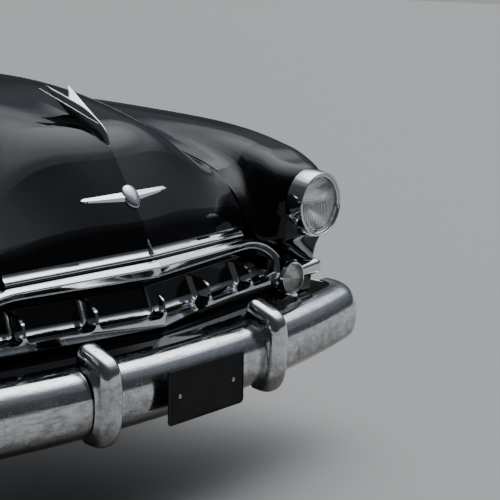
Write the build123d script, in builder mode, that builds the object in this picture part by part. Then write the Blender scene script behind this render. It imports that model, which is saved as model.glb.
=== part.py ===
from build123d import *
from math import asin, atan, cos, degrees, hypot, radians, sin, sqrt
import os

# Front end of a 1950s saloon car: bonnet, wings, lamps, grille and bumper on the front of its chassis frame.
#
# X runs across the car with +X on the car's left, Y runs backwards and Z up, in millimetres. The origin is
# the centre of the four bolt holes in the undersides of the frame rails. Tables and sketches measure as a
# body shop does, in distance behind the bumper's face ("back") and height above the road ("high"): sta() and
# lvl() turn those two into Y and Z. Left pieces are drawn on +X, and right pieces are their mirror images.

# Datum: from the frame bolts forward to the bumper's face, and from the road up to the frame rails.
NOSE = 1490.0
RIDE = 350.0

# Sheet metal and gaps.
SKIN = 3.0  # outer panels
SHEET = 3.0  # inner panels and brackets
SHUT_GAP = 6.0  # open line between bonnet and wings
SEAT = 0.3  # clearance of pieces that sit on each other

# Plan of the nose: both halves of the grille run back from the centre line at this slope.
NOSE_SLOPE = 0.16
NOSE_TURN = degrees(atan(NOSE_SLOPE))

# Bonnet. Its front face is flat in each half of the V, down to the lip, and leans back; above it each row
# is a lengthwise outline of the outer skin, at a share of the half width from the centre line.
BONNET_NOSE = 222.0
BONNET_END = 1540.0
BONNET_HALF = 500.0
LIP_HIGH = 738.0
LIP_SLOPE = 0.172
FACE_LEAN = 0.284
BONNET_RADII = (120.0, 200.0, 2200.0)  # at heel, brow and crown
BONNET_ROWS = (
    # across, lip high, heel high, brow back, brow high, crown high, rear high
    (0.00, 738, 812, 400, 1062, 1160, 1185),
    (0.26, 738, 812, 420, 1060, 1160, 1183),
    (0.52, 735, 805, 440, 1032, 1142, 1170),
    (0.74, 729, 790, 435, 965, 1085, 1128),
    (0.90, 722, 780, 415, 908, 1025, 1080),
    (1.00, 716, 775, 404, 890, 1003, 1055),
)
CROWN_BACK = 800.0
RIB_BACKS = (366.0, 700.0, 1100.0)  # where each cross rib starts
RIB_DEPTH = 15.0
RIB_SHEET = 1.5
RIB_WIDTH = 70.0
LIP_TOP = 16.0  # the lip moulding's reach above and below the skin's edge
LIP_BOTTOM = 14.0
LIP_PROUD = 12.0
LIP_FALL = 0.03  # how the moulding drops towards its ends
BADGE_BACK = 240.0
BADGE_HIGH = 890.0
BADGE_HALF = 165.0
BADGE_THICK = 7.0

# Wings. Each row is a cross-section of the outer skin, from the shut line over the crest to the side.
WING_END = 1600.0
WING_ROWS = (
    # back, hem high, inner low, inner x, inner high (0 for the bonnet's edge), valley x, valley high, top in x,
    # top in high, top out x, top out high, side x, hem x, then the radii at valley, inner top, outer top and side
    (224, 690, 690, 600, 700, 606, 760, 606, 893, 802, 893, 804, 786, 80, 90, 90, 120),
    (240, 655, 692, 572, 702, 583, 765, 596, 906, 816, 906, 826, 776, 80, 108, 108, 120),
    (275, 585, 694, 528, 706, 556, 772, 598, 917, 838, 916, 858, 798, 80, 100, 112, 150),
    (320, 505, 700, 508, 0, 546, 812, 612, 930, 858, 928, 886, 850, 70, 100, 115, 200),
    (370, 450, 560, 506, 0, 560, 860, 636, 948, 876, 940, 908, 896, 65, 125, 120, 250),
    (430, 440, 440, 506, 0, 575, 900, 660, 962, 892, 950, 926, 914, 80, 150, 125, 250),
    (560, 430, 430, 506, 0, 580, 940, 678, 988, 914, 972, 945, 933, 100, 200, 132, 250),
    (730, 430, 430, 506, 0, 586, 972, 694, 1006, 932, 990, 959, 946, 120, 250, 140, 300),
    (940, 430, 430, 506, 0, 591, 994, 704, 1018, 942, 999, 965, 952, 120, 280, 146, 300),
    (1160, 430, 430, 506, 0, 596, 1010, 711, 1026, 949, 1006, 969, 956, 120, 300, 150, 300),
    (1380, 430, 430, 506, 0, 598, 1024, 716, 1031, 953, 1011, 971, 958, 120, 300, 150, 300),
    (1600, 430, 430, 506, 0, 600, 1036, 720, 1034, 955, 1014, 972, 959, 120, 300, 150, 300),
)
WING_SIDE_HIGH = 760.0  # where the side starts to tuck under
WING_SPLIT = 5  # row where the nose's loft hands over to the flank's
WING_HEM = 440.0  # height of the lower edge ahead of the wheel
SILL_HIGH = 300.0  # and behind it
ARCH_BACK = 870.0
ARCH_HIGH = 365.0
ARCH_RADIUS = 410.0
GUTTER_DEEP = 34.0  # flange turned down under the bonnet's edge

# Headlamps.
LAMP_X = 705.0
LAMP_BACK = 180.0
LAMP_HIGH = 793.0
LENS_RADIUS = 86.0
LENS_BULGE = 14.0
LENS_WALL = 4.0
RING_RADIUS = 94.0
BEZEL_RADIUS = 107.0
BEZEL_WALL = 3.0
BOWL_DEEP = 95.0

# Grille.
TOP_BAR_BACK = 176.0
TOP_BAR_HIGH = 699.0
TOP_BAR_TALL = 46.0  # at the centre line
TOP_BAR_SLIM = 31.0  # from the start of the shoulder on
TOP_BAR_DEEP = 24.0
SHOULDER = 545.0  # where the top bar turns down, along the nose
SHOULDER_DROP = 8.0
SHOULDER_RADIUS = 300.0
TOOTH_BAR_BACK = 158.0
TOOTH_BAR_HIGH = 538.0  # lower edge of its face
TOOTH_PROFILE = (
    # depth behind the face, height over the lower edge, corner radius
    (0, 38, 30),
    (8, 75, 14),
    (30, 89, 30),
    (84, 97, 2),
)
TOOTH_PITCH = 227.0
TOOTH_THICK = 9.0
POCKET_FLOOR = 24.0  # height over the lower edge
POCKET_DEEP = 52.0  # level part of the floor
POCKET_CURVE = 34.0
POCKET_CORNER = 20.0
CAST_WALL = 4.0
POCKETS = 2  # whole pockets each side, before the short one beside the lamp
STAY_X = 300.0

# Side lamps and the spears behind them.
SIDE_LAMP_X = 655.0
SIDE_LAMP_BACK = 238.0
SIDE_LAMP_HIGH = 556.0
SIDE_LENS_RADIUS = 47.0
SIDE_RIM_RADIUS = 56.0
SIDE_SHELL_DEEP = 30.0
SHROUD_FRONT = 55.0  # flats of the eight-sided shroud behind the rim, at its front and back
SHROUD_REAR = 72.0
SHROUD_DEEP = 78.0
SPEAR_TALL = 52.0
SPEAR_TIP = 852.0
SPEAR_DEEP = 60.0

# Bumper.
BUMPER_HALF = 976.0
BUMPER_BACK = 26.0
BUMPER_SWEEP = 3200.0  # plan radius of its face
BUMPER_CORNER = 175.0
BUMPER_WING = 150.0  # straight return along each side
BUMPER_FLAT = 309.0  # from here back only the outer wall runs on, clear of the wing
BUMPER_WALL = 5.0
BUMPER_FACE = (
    # depth behind the face, height, corner radius
    (92, 500, 0),
    (30, 503, 30),
    (0, 440, 80),
    (8, 352, 22),
    (62, 312, 0),
)
IRON_HIGH = 405.0
IRON_FOOT = 80.0
IRON_IN = 60.0  # length inside the rail
IRON_TALL = 60.0
OVERRIDER_X = 335.0
OVERRIDER_WIDE = 84.0
OVERRIDER_ROUND = 15.0
OVERRIDER_SIDE = (
    # back, height, corner radius
    (14, 526, 26),
    (116, 569, 20),
    (130, 500, 24),
    (92, 298, 24),
    (42, 296, 26),
    (12, 356, 60),
    (8, 460, 120),
)

# Number plate.
PLATE_WIDE = 305.0
PLATE_TALL = 152.0
PLATE_THICK = 3.0
PLATE_HIGH = 394.0

# Chassis frame.
RAIL_X = 400.0
RAIL_WIDE = 70.0
RAIL_TALL = 110.0
RAIL_WALL = 4.0
RAIL_START = 190.0
RAIL_END = 1640.0
BOLT_HOLE = 13.0
BOLT_STEP = 160.0
CROSS_BACK = 470.0
CROSS_LONG = 110.0

# Radiator and its support.
SUPPORT_BACK = 430.0
SUPPORT_HIGH = 845.0
DECK_HIGH = 700.0
CORE_WIDE = 560.0
CORE_TALL = 320.0
CORE_DEEP = 62.0
TANK_TALL = 48.0
CORE_HIGH = 674.0
FILLER_RADIUS = 24.0
HOSE_RADIUS = 20.0

# Splash pan between the grille and the bumper.
PAN_LOW = 470.0
PAN_GAP = 4.0

# Bonnet lock on the radiator support, and its striker.
LOCK_DEEP = 40.0
LOCK_TALL = 30.0
STRIKER_RADIUS = 7.0
STRIKER_ROOM = 6.0

# Bonnet hinges.
HINGE_BACK = 1500.0
HINGE_HIGH = 1030.0
HINGE_IN = 55.0  # from the bonnet's side edge in to the arm
HINGE_ARM = 8.0
HINGE_EAR = 6.0
HINGE_DROP = 70.0  # from the pin down to the bracket's shelf
PIN_RADIUS = 8.0
PIN_PLAY = 0.08


def sta(back):
    """Y of a station behind the bumper's face."""
    return back - NOSE


def lvl(high):
    """Z of a height above the road."""
    return high - RIDE


def inset(points, radii, amount):
    """Corner points and radii of the line that runs amount to the right of an open run of corners."""
    moved = []
    sides = []
    for (x0, y0), (x1, y1) in zip(points, points[1:]):
        size = hypot(x1 - x0, y1 - y0)
        sides.append(((x1 - x0) / size, (y1 - y0) / size))
    for i, (x, y) in enumerate(points):
        before = sides[max(i - 1, 0)]
        after = sides[min(i, len(sides) - 1)]
        middle = (before[0] + after[0], before[1] + after[1])
        reach = 2 * amount / (middle[0] ** 2 + middle[1] ** 2)
        moved.append((x + middle[1] * reach, y - middle[0] * reach))
    kept = []
    for i, radius in enumerate(radii):
        before, after = sides[i], sides[i + 1]
        turn = before[0] * after[1] - before[1] * after[0]
        kept.append(radius + amount if turn > 0 else max(radius - amount, 1.0))
    return moved, kept


def rounded(points, radii, steps=12):
    """Points along an open run of corners with its corners rounded."""
    run = [points[0]]
    for i, radius in enumerate(radii):
        (ax, ay), (bx, by), (cx, cy) = points[i : i + 3]
        one, two = hypot(ax - bx, ay - by), hypot(cx - bx, cy - by)
        u = ((ax - bx) / one, (ay - by) / one)
        v = ((cx - bx) / two, (cy - by) / two)
        half = (u[0] + v[0], u[1] + v[1])
        size = hypot(*half)
        lean = sqrt(max(1 - (size / 2) ** 2, 1e-9))
        out = radius / lean
        middle = (bx + half[0] / size * out, by + half[1] / size * out)
        cut = radius * (size / 2) / lean
        start = (bx + u[0] * cut - middle[0], by + u[1] * cut - middle[1])
        end = (bx + v[0] * cut - middle[0], by + v[1] * cut - middle[1])
        for k in range(steps + 1):
            part = k / steps
            mix = (start[0] * (1 - part) + end[0] * part, start[1] * (1 - part) + end[1] * part)
            grow = radius / hypot(*mix)
            run.append((middle[0] + mix[0] * grow, middle[1] + mix[1] * grow))
    run.append(points[-1])
    return run


def face_back(across, high):
    """Station of the bonnet's flat front face."""
    return BONNET_NOSE + across * LIP_SLOPE + (high - LIP_HIGH) * FACE_LEAN


def bonnet_corners(row):
    """Corners of one lengthwise outline of the bonnet's outer skin, as (Y, Z)."""
    share, lip_high, heel_high, brow_back, brow_high, crown_high, rear_high = row
    across = share * BONNET_HALF
    return [
        (sta(face_back(across, lip_high)), lvl(lip_high)),
        (sta(face_back(across, heel_high)), lvl(heel_high)),
        (sta(brow_back), lvl(brow_high)),
        (sta(CROWN_BACK), lvl(crown_high)),
        (sta(BONNET_END), lvl(rear_high)),
    ]


def shut_line(back, row=BONNET_ROWS[-1]):
    """Z of the bonnet's side edge, or of another of its rows, at a station."""
    run = rounded(bonnet_corners(row), BONNET_RADII)
    y = sta(back)
    for (y0, z0), (y1, z1) in zip(run, run[1:]):
        if y0 <= y <= y1:
            return z0 + (z1 - z0) * (y - y0) / (y1 - y0)
    (y0, z0), (y1, z1) = run[-2:]
    return z1 + (z1 - z0) * (y - y1) / (y1 - y0)


def bonnet_shell(near, far):
    """One half of the bonnet between two depths under its outer surface, mirrored to both halves."""
    with BuildPart() as half:
        for row in BONNET_ROWS:
            corners = bonnet_corners(row)
            outer, outer_radii = inset(corners, BONNET_RADII, near)
            inner, inner_radii = inset(corners, BONNET_RADII, far)
            with BuildSketch(Plane.YZ.offset(row[0] * BONNET_HALF)):
                with BuildLine():
                    FilletPolyline(*outer, radius=outer_radii)
                    Line(outer[-1], inner[-1])
                    FilletPolyline(*inner, radius=inner_radii)
                    Line(outer[0], inner[0])
                make_face()
        loft()
    with BuildPart() as whole:
        add(half.part)
        mirror(about=Plane.YZ)
    return whole.part


def wing_corners(row):
    """Corners and radii of one cross-section of the wing's outer skin, as (X, Z)."""
    back, hem, _, inner_x, inner_high, valley_x, valley_high, in_x, in_high, out_x, out_high, side_x, hem_x = row[:13]
    points = [
        (inner_x, lvl(inner_high) if inner_high else shut_line(back)),
        (valley_x, lvl(valley_high)),
        (in_x, lvl(in_high)),
        (out_x, lvl(out_high)),
        (side_x, lvl(WING_SIDE_HIGH)),
        (hem_x, lvl(hem)),
    ]
    return points, row[13:]


def wing_block(depth, drop=0.0):
    """The wing's outer form as a solid, taken in by depth; its flank reaches drop below the lower edge.

    Two lofts that share three rows meet at the middle one of them, so the surface runs on smoothly.
    """
    halves = []
    seam = Plane.XZ.offset(-sta(WING_ROWS[WING_SPLIT][0]))
    for rows in (WING_ROWS[: WING_SPLIT + 2], WING_ROWS[WING_SPLIT - 1 :]):
        nose = rows[0] is WING_ROWS[0]
        with BuildPart() as run:
            for row in rows:
                points, radii = inset(*wing_corners(row), depth)
                low = lvl(row[1]) + depth if nose else lvl(SILL_HIGH) - drop
                inner_low = lvl(row[2]) + depth if nose else low
                (side_x, side_z), (hem_x, hem_z) = points[-2:]
                points[-1] = (hem_x + (hem_x - side_x) * (low - hem_z) / (hem_z - side_z), low)
                points[0] = (points[0][0] + depth, points[0][1])
                back = row[0] + (depth if row is WING_ROWS[0] else 0)
                with BuildSketch(Plane.XZ.offset(-sta(back))):
                    with BuildLine():
                        FilletPolyline(*points, radius=radii)
                        Polyline(points[-1], (points[0][0], inner_low), points[0])
                    make_face()
            loft()
            split(bisect_by=seam, keep=Keep.TOP if nose else Keep.BOTTOM)
        halves.append(run.part)
    with BuildPart() as block:
        for half in halves:
            add(half)
    return block.part


def bumper_plan():
    """Half of the bumper's plan line, out from the centre and back round the corner."""
    turn = degrees(asin((BUMPER_HALF - BUMPER_CORNER) / (BUMPER_SWEEP - BUMPER_CORNER)))
    face_arc = JernArc((0, sta(BUMPER_BACK)), (1, 0), BUMPER_SWEEP, turn)
    corner_arc = JernArc(face_arc @ 1, face_arc % 1, BUMPER_CORNER, 90 - turn)
    Line(corner_arc @ 1, (corner_arc @ 1) + (0, BUMPER_WING))


def bumper_block(depth):
    """The bumper's section taken in by depth and closed behind, carried along its plan line."""
    with BuildPart() as half:
        with BuildLine(Plane.XY.offset(lvl(0))):
            bumper_plan()
        with BuildSketch(Plane(origin=(0, sta(BUMPER_BACK), lvl(0)), x_dir=(0, 1, 0), z_dir=(1, 0, 0))):
            with BuildLine():
                outer = [(back, high) for back, high, _ in reversed(BUMPER_FACE)]
                radii = [radius for _, _, radius in reversed(BUMPER_FACE)][1:-1]
                points, radii = inset(outer, radii, depth)
                FilletPolyline(*points, radius=radii)
                Line(points[-1], points[0])
            make_face()
        sweep()
    with BuildPart() as whole:
        add(half.part)
        mirror(about=Plane.YZ)
    return whole.part


def across(back, turn=NOSE_TURN):
    """Section plane at the centre line, square to the left half of the nose: x is depth, y is Z."""
    turn = radians(turn)
    return Plane(
        origin=(0, sta(back), lvl(0)),
        x_dir=(-sin(turn), cos(turn), 0),
        z_dir=(cos(turn), sin(turn), 0),
    )


def along(back):
    """Upright plane that holds the left half of the nose: x runs out along it, y is Z."""
    turn = radians(NOSE_TURN)
    return Plane(
        origin=(0, sta(back), lvl(0)),
        x_dir=(cos(turn), sin(turn), 0),
        z_dir=(sin(turn), -cos(turn), 0),
    )


def both_halves(left_half):
    """Trims a piece at the centre line and joins it to its mirror image."""
    with BuildPart() as whole:
        add(left_half)
        split(bisect_by=Plane.YZ, keep=Keep.TOP)
        mirror(about=Plane.YZ)
    return whole.part


made = {}


def keep(part, name):
    """Keeps one finished piece under its node name."""
    part.label = name
    made[name] = part


def keep_pair(left, name):
    """Keeps a left piece and its mirror image."""
    keep(left, name + "_left")
    with BuildPart() as right:
        mirror(left, about=Plane.YZ)
    keep(right.part, name + "_right")


# Bonnet skin.
keep(bonnet_shell(0, SKIN), "bonnet_skin")

# Bonnet frame: hat-section ribs round the edge of the skin and across it, open towards the skin.
RIB_TOP = SKIN + SEAT
bay_ends = RIB_BACKS + (BONNET_END - 10.0,)


def rib_block(wall):
    """The ribs as one slab with its bays open, taken in by a wall on the sides and below."""
    with BuildPart() as block:
        add(bonnet_shell(RIB_TOP - wall, RIB_TOP + RIB_DEPTH - wall))
        with Locations((0, sta(800), lvl(900))):
            Box(2 * (BONNET_HALF - 12 - wall), 3000, 3000, mode=Mode.INTERSECT)
        with Locations((0, sta(bay_ends[0]) + wall - 400, 0), (0, sta(BONNET_END) - 2 - wall + 400, 0)):
            Box(3 * BONNET_HALF, 800, 3000, mode=Mode.SUBTRACT)
        for start, end in zip(bay_ends, bay_ends[1:]):
            length = end - start - RIB_WIDTH + 2 * wall
            middle = sta((start + end + RIB_WIDTH) / 2)
            width = BONNET_HALF - 12 - 1.5 * RIB_WIDTH + 2 * wall
            for side in (-1, 1):
                with Locations((side * (RIB_WIDTH / 2 - wall + width / 2), middle, lvl(1100))):
                    Box(width, length, 500, mode=Mode.SUBTRACT)
    return block.part


with BuildPart() as bonnet_frame:
    add(rib_block(0))
    add(rib_block(RIB_SHEET), mode=Mode.SUBTRACT)
keep(bonnet_frame.part, "bonnet_frame")

# Chrome moulding along the bonnet's front edge, with its small centre peak.
bonnet_solid = bonnet_shell(-SEAT, 60)
lip_turn = degrees(atan(LIP_SLOPE))
lip_plane = across(face_back(0, 0) - SEAT, lip_turn)
lip_run = Vector(1, LIP_SLOPE - LIP_FALL * FACE_LEAN, -LIP_FALL)


def lip_point(proud, rise):
    """A point of the moulding's section, from distance ahead of the bonnet's face and rise over the skin's edge."""
    high = LIP_HIGH + rise
    return (FACE_LEAN * high * cos(radians(lip_turn)) - proud, high)


with BuildPart() as lip_half:
    with BuildSketch(lip_plane.offset(-40)):
        with BuildLine():
            Line(lip_point(0, -LIP_BOTTOM), lip_point(0, LIP_TOP))
            Line(lip_point(0, LIP_TOP), lip_point(3, LIP_TOP))
            ThreePointArc(lip_point(3, LIP_TOP), lip_point(4, LIP_TOP - 8), lip_point(8, 2))
            ThreePointArc(lip_point(8, 2), lip_point(LIP_PROUD, -5), lip_point(8, -LIP_BOTTOM))
            Line(lip_point(8, -LIP_BOTTOM), lip_point(0, -LIP_BOTTOM))
        make_face()
    extrude(amount=BONNET_HALF * lip_run.length + 40, dir=lip_run)
    with BuildSketch(lip_plane):
        with BuildLine():
            Polyline(
                lip_point(1, -4),
                lip_point(1, 34),
                lip_point(5, 34),
                lip_point(18, 10),
                lip_point(20, -4),
                close=True,
            )
        make_face()
    extrude(amount=6.0)
keep(both_halves(lip_half.part), "bonnet_lip")

# Chrome badge bar across the nose, with a plain boss in the middle.
with BuildPart() as badge_half:
    with BuildSketch(Plane.XZ.offset(-sta(BADGE_BACK))):
        with BuildLine():
            Polyline(
                (0, lvl(BADGE_HIGH) - 13),
                (0, lvl(BADGE_HIGH) + 13),
                (BADGE_HALF, lvl(BADGE_HIGH) + 6),
                (BADGE_HALF, lvl(BADGE_HIGH) - 2),
                close=True,
            )
        make_face()
        with Locations((0, lvl(BADGE_HIGH))):
            Circle(30)
    extrude(amount=-140)
    add(bonnet_shell(-BADGE_THICK, -SEAT), mode=Mode.INTERSECT)
keep(both_halves(badge_half.part), "bonnet_badge")

# Ornament on the crown: a plain dart with two swept fins, on a low foot.
with BuildPart() as ornament:
    with BuildSketch(Plane.YZ):
        with BuildLine():
            FilletPolyline(
                (sta(372), lvl(1000)),
                (sta(392), lvl(1062)),
                (sta(470), lvl(1120)),
                (sta(660), lvl(1180)),
                (sta(575), lvl(1118)),
                (sta(530), lvl(1086)),
                (sta(470), lvl(1040)),
                radius=(14, 60, 3, 60, 60),
            )
            Line((sta(470), lvl(1040)), (sta(372), lvl(1000)))
        make_face()
    extrude(amount=9, both=True)
    with BuildSketch(Plane(origin=(0, sta(430), lvl(1092)), x_dir=(1, 0, 0), z_dir=(0, -0.36, 0.93))):
        with BuildLine():
            Polyline((0, 0), (14, 0), (58, 190), (52, 196), (12, 150), (0, 160), close=True)
        make_face()
        mirror(about=Plane.YZ)
    extrude(amount=2.5, both=True)
    add(bonnet_solid, mode=Mode.SUBTRACT)
keep(ornament.part, "bonnet_ornament")

# Wings.
with BuildPart() as wing:
    add(wing_block(0))
    add(wing_block(SKIN, 60.0), mode=Mode.SUBTRACT)
    with Locations(Plane((LAMP_X, sta(LAMP_BACK), lvl(LAMP_HIGH)), x_dir=(1, 0, 0), z_dir=(0, 1, 0))):
        Cylinder(RING_RADIUS - 2, 300, mode=Mode.SUBTRACT)
    with Locations(Plane((900, sta(ARCH_BACK), lvl(ARCH_HIGH)), x_dir=(0, 1, 0), z_dir=(1, 0, 0))):
        Cylinder(ARCH_RADIUS, 500, mode=Mode.SUBTRACT)
    ahead = ARCH_BACK - 200
    with Locations((BONNET_HALF + 300, sta(ahead / 2), lvl(WING_HEM) - 200)):
        Box(800, ahead, 400, mode=Mode.SUBTRACT)
    with BuildSketch(Plane.YZ.offset(BONNET_HALF - 20)):
        with BuildLine():
            rim = [
                (sta(back), shut_line(back) - GUTTER_DEEP)
                for back in (340, 380, 450, 600, 850, 1200, WING_END + 20)
            ]
            Polyline((sta(340), lvl(200)), *rim, (sta(WING_END + 20), lvl(200)), close=True)
        make_face()
    extrude(amount=60, mode=Mode.SUBTRACT)
keep_pair(wing.part, "wing")

# Inner aprons with the wheel housing's roof and a foot on the frame rail.
APRON_X = BONNET_HALF + SHUT_GAP + SKIN + SEAT
FOOT_IN = RAIL_X + RAIL_WIDE / 2 + SEAT
with BuildPart() as apron:
    with BuildSketch(Plane.YZ.offset(APRON_X)):
        with BuildLine():
            rim = [
                (sta(back), shut_line(back) - 6 * SKIN)
                for back in (434, 520, 650, 850, 1200, WING_END - 20)
            ]
            Polyline((sta(434), lvl(RIDE) + 30), *rim, (sta(WING_END - 20), lvl(RIDE) + 30), close=True)
        make_face()
    extrude(amount=SHEET)
    with BuildSketch(Plane.YZ.offset(APRON_X)):
        with Locations((sta(ARCH_BACK), lvl(ARCH_HIGH))):
            Circle(ARCH_RADIUS + 18)
            Circle(ARCH_RADIUS + 18 - SHEET, mode=Mode.SUBTRACT)
        with Locations((sta(ARCH_BACK), lvl(ARCH_HIGH) - 500)):
            Rectangle(1200, 1000, mode=Mode.SUBTRACT)
    extrude(amount=400)
    foot_wide = APRON_X + 1 - FOOT_IN
    with Locations((FOOT_IN + foot_wide / 2, sta((434 + WING_END - 20) / 2), 45)):
        Box(foot_wide, WING_END - 20 - 434, SHEET)
keep_pair(apron.part, "wing_apron")

wing_solid = wing_block(-SEAT)

# Headlamps: bowl in the wing, sealed lens, retaining ring and bezel, all turned about the lamp's axis.
lamp_axis = Axis((LAMP_X, 0, lvl(LAMP_HIGH)), (0, 1, 0))


def lamp_point(back, radius):
    """A point of a headlamp profile, from distance behind the lens plane and radius."""
    return (sta(LAMP_BACK + back), lvl(LAMP_HIGH) + radius)


with BuildPart() as bowl:
    with BuildSketch(Plane.YZ.offset(LAMP_X)):
        with BuildLine():
            rim_in = RING_RADIUS - 9
            Polyline(lamp_point(14, rim_in), lamp_point(14, rim_in + 4), lamp_point(50, rim_in + 4))
            Spline(
                lamp_point(50, rim_in + 4),
                lamp_point(BOWL_DEEP - 25, rim_in * 0.72),
                lamp_point(BOWL_DEEP, 0),
                tangents=((1, -0.2), (0, -1)),
            )
            Line(lamp_point(BOWL_DEEP, 0), lamp_point(BOWL_DEEP - 3, 0))
            Spline(
                lamp_point(BOWL_DEEP - 3, 0),
                lamp_point(BOWL_DEEP - 34, rim_in * 0.62),
                lamp_point(14, rim_in),
                tangents=((0, 1), (-1, 0.25)),
            )
        make_face()
    revolve(axis=lamp_axis)
keep_pair(bowl.part, "headlamp_bowl")

lens_sphere = (LENS_RADIUS**2 + LENS_BULGE**2) / (2 * LENS_BULGE)
with BuildPart() as lens:
    with BuildSketch(Plane.YZ.offset(LAMP_X)):
        with BuildLine():
            lean = asin(LENS_RADIUS / lens_sphere) / 2
            bulge = LENS_BULGE - lens_sphere * (1 - cos(lean))
            ThreePointArc(
                lamp_point(-LENS_BULGE, 0),
                lamp_point(-bulge, lens_sphere * sin(lean)),
                lamp_point(0, LENS_RADIUS),
            )
            Line(lamp_point(0, LENS_RADIUS), lamp_point(LENS_WALL, LENS_RADIUS))
            ThreePointArc(
                lamp_point(LENS_WALL, LENS_RADIUS),
                lamp_point(LENS_WALL - bulge, lens_sphere * sin(lean)),
                lamp_point(LENS_WALL - LENS_BULGE, 0),
            )
            Line(lamp_point(LENS_WALL - LENS_BULGE, 0), lamp_point(-LENS_BULGE, 0))
        make_face()
    revolve(axis=lamp_axis)
keep_pair(lens.part, "headlamp_lens")

with BuildPart() as ring:
    with BuildSketch(Plane.YZ.offset(LAMP_X)):
        with BuildLine():
            FilletPolyline(
                lamp_point(13.5, LENS_RADIUS + SEAT),
                lamp_point(-5, LENS_RADIUS + SEAT),
                lamp_point(-7, LENS_RADIUS + 3),
                lamp_point(-4, RING_RADIUS - SEAT),
                lamp_point(13.5, RING_RADIUS - SEAT),
                radius=1.0,
                close=True,
            )
        make_face()
    revolve(axis=lamp_axis)
keep_pair(ring.part, "headlamp_ring")

BEZEL_DEEP = WING_ROWS[0][0] - LAMP_BACK - SEAT
with BuildPart() as bezel:
    with BuildSketch(Plane.YZ.offset(LAMP_X)):
        with BuildLine():
            waist = BEZEL_DEEP * 0.4
            lip = RING_RADIUS + 6
            Line(lamp_point(12, RING_RADIUS), lamp_point(-8, RING_RADIUS))
            ThreePointArc(lamp_point(-8, RING_RADIUS), lamp_point(-11, RING_RADIUS + 3), lamp_point(-8, lip))
            ThreePointArc(lamp_point(-8, lip), lamp_point(waist, BEZEL_RADIUS - 2), lamp_point(BEZEL_DEEP, BEZEL_RADIUS))
            Polyline(
                lamp_point(BEZEL_DEEP, BEZEL_RADIUS),
                lamp_point(BEZEL_DEEP, RING_RADIUS + 1),
                lamp_point(BEZEL_DEEP - BEZEL_WALL, RING_RADIUS + 1),
                lamp_point(BEZEL_DEEP - BEZEL_WALL, BEZEL_RADIUS - 1.2 * BEZEL_WALL),
            )
            ThreePointArc(
                lamp_point(BEZEL_DEEP - BEZEL_WALL, BEZEL_RADIUS - 1.2 * BEZEL_WALL),
                lamp_point(waist, BEZEL_RADIUS - 1.6 * BEZEL_WALL),
                lamp_point(0, lip - 1),
            )
            Polyline(
                lamp_point(0, lip - 1),
                lamp_point(0, RING_RADIUS + 3),
                lamp_point(12, RING_RADIUS + 3),
                lamp_point(12, RING_RADIUS),
            )
        make_face()
    revolve(axis=lamp_axis)
keep_pair(bezel.part, "headlamp_bezel")

# Side lamps: the rim, the lens and the eight-sided shroud that the grille's bars run into.
side_axis = Axis((SIDE_LAMP_X, 0, lvl(SIDE_LAMP_HIGH)), (0, 1, 0))


def side_point(back, radius):
    """A point of a side lamp profile, from distance behind its lens plane and radius."""
    return (sta(SIDE_LAMP_BACK + back), lvl(SIDE_LAMP_HIGH) + radius)


def side_plane(back):
    """Plane across a side lamp's axis, facing forward, at a distance behind its lens plane."""
    return Plane((SIDE_LAMP_X, sta(SIDE_LAMP_BACK + back), lvl(SIDE_LAMP_HIGH)), x_dir=(1, 0, 0), z_dir=(0, -1, 0))


def shroud_block(grow):
    """The shroud's outer form, made larger all round by grow."""
    with BuildPart() as block:
        with BuildSketch(side_plane(7)):
            RegularPolygon(SHROUD_FRONT + grow, 8, major_radius=False, rotation=22.5)
        with BuildSketch(side_plane(SHROUD_DEEP)):
            RegularPolygon(SHROUD_REAR + grow, 8, major_radius=False, rotation=22.5)
        loft()
    return block.part


with BuildPart() as side_shell:
    with BuildSketch(Plane.YZ.offset(SIDE_LAMP_X)):
        with BuildLine():
            FilletPolyline(
                side_point(14, SIDE_LENS_RADIUS + SEAT),
                side_point(-4, SIDE_LENS_RADIUS + SEAT),
                side_point(-6, SIDE_LENS_RADIUS + 4),
                side_point(6, SIDE_RIM_RADIUS),
                side_point(6.5, SIDE_LENS_RADIUS + 3),
                side_point(SIDE_SHELL_DEEP, SIDE_LENS_RADIUS + 3),
                side_point(SIDE_SHELL_DEEP, 0),
                radius=(1, 2, 0.4, 1, 8),
            )
            Polyline(
                side_point(SIDE_SHELL_DEEP, 0),
                side_point(SIDE_SHELL_DEEP - SHEET, 0),
                side_point(SIDE_SHELL_DEEP - SHEET, SIDE_LENS_RADIUS - 8),
                side_point(14, SIDE_LENS_RADIUS - 8),
                side_point(14, SIDE_LENS_RADIUS + SEAT),
            )
        make_face()
    revolve(axis=side_axis)
keep_pair(side_shell.part, "side_lamp_shell")

with BuildPart() as side_lens:
    with BuildSketch(Plane.YZ.offset(SIDE_LAMP_X)):
        with BuildLine():
            ThreePointArc(side_point(-9, 0), side_point(-6, SIDE_LENS_RADIUS * 0.6), side_point(0, SIDE_LENS_RADIUS))
            Polyline(
                side_point(0, SIDE_LENS_RADIUS),
                side_point(13.7, SIDE_LENS_RADIUS),
                side_point(13.7, 0),
                side_point(-9, 0),
            )
        make_face()
    revolve(axis=side_axis)
keep_pair(side_lens.part, "side_lamp_lens")

with BuildPart() as shroud:
    add(shroud_block(0))
    with Locations(side_plane(0)):
        Cylinder(SIDE_LENS_RADIUS + 3 + SEAT, 2 * (SIDE_SHELL_DEEP + SEAT), mode=Mode.SUBTRACT)
    add(wing_solid, mode=Mode.SUBTRACT)
shroud_outer = shroud_block(SEAT)
keep_pair(shroud.part, "side_lamp_shroud")

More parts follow.
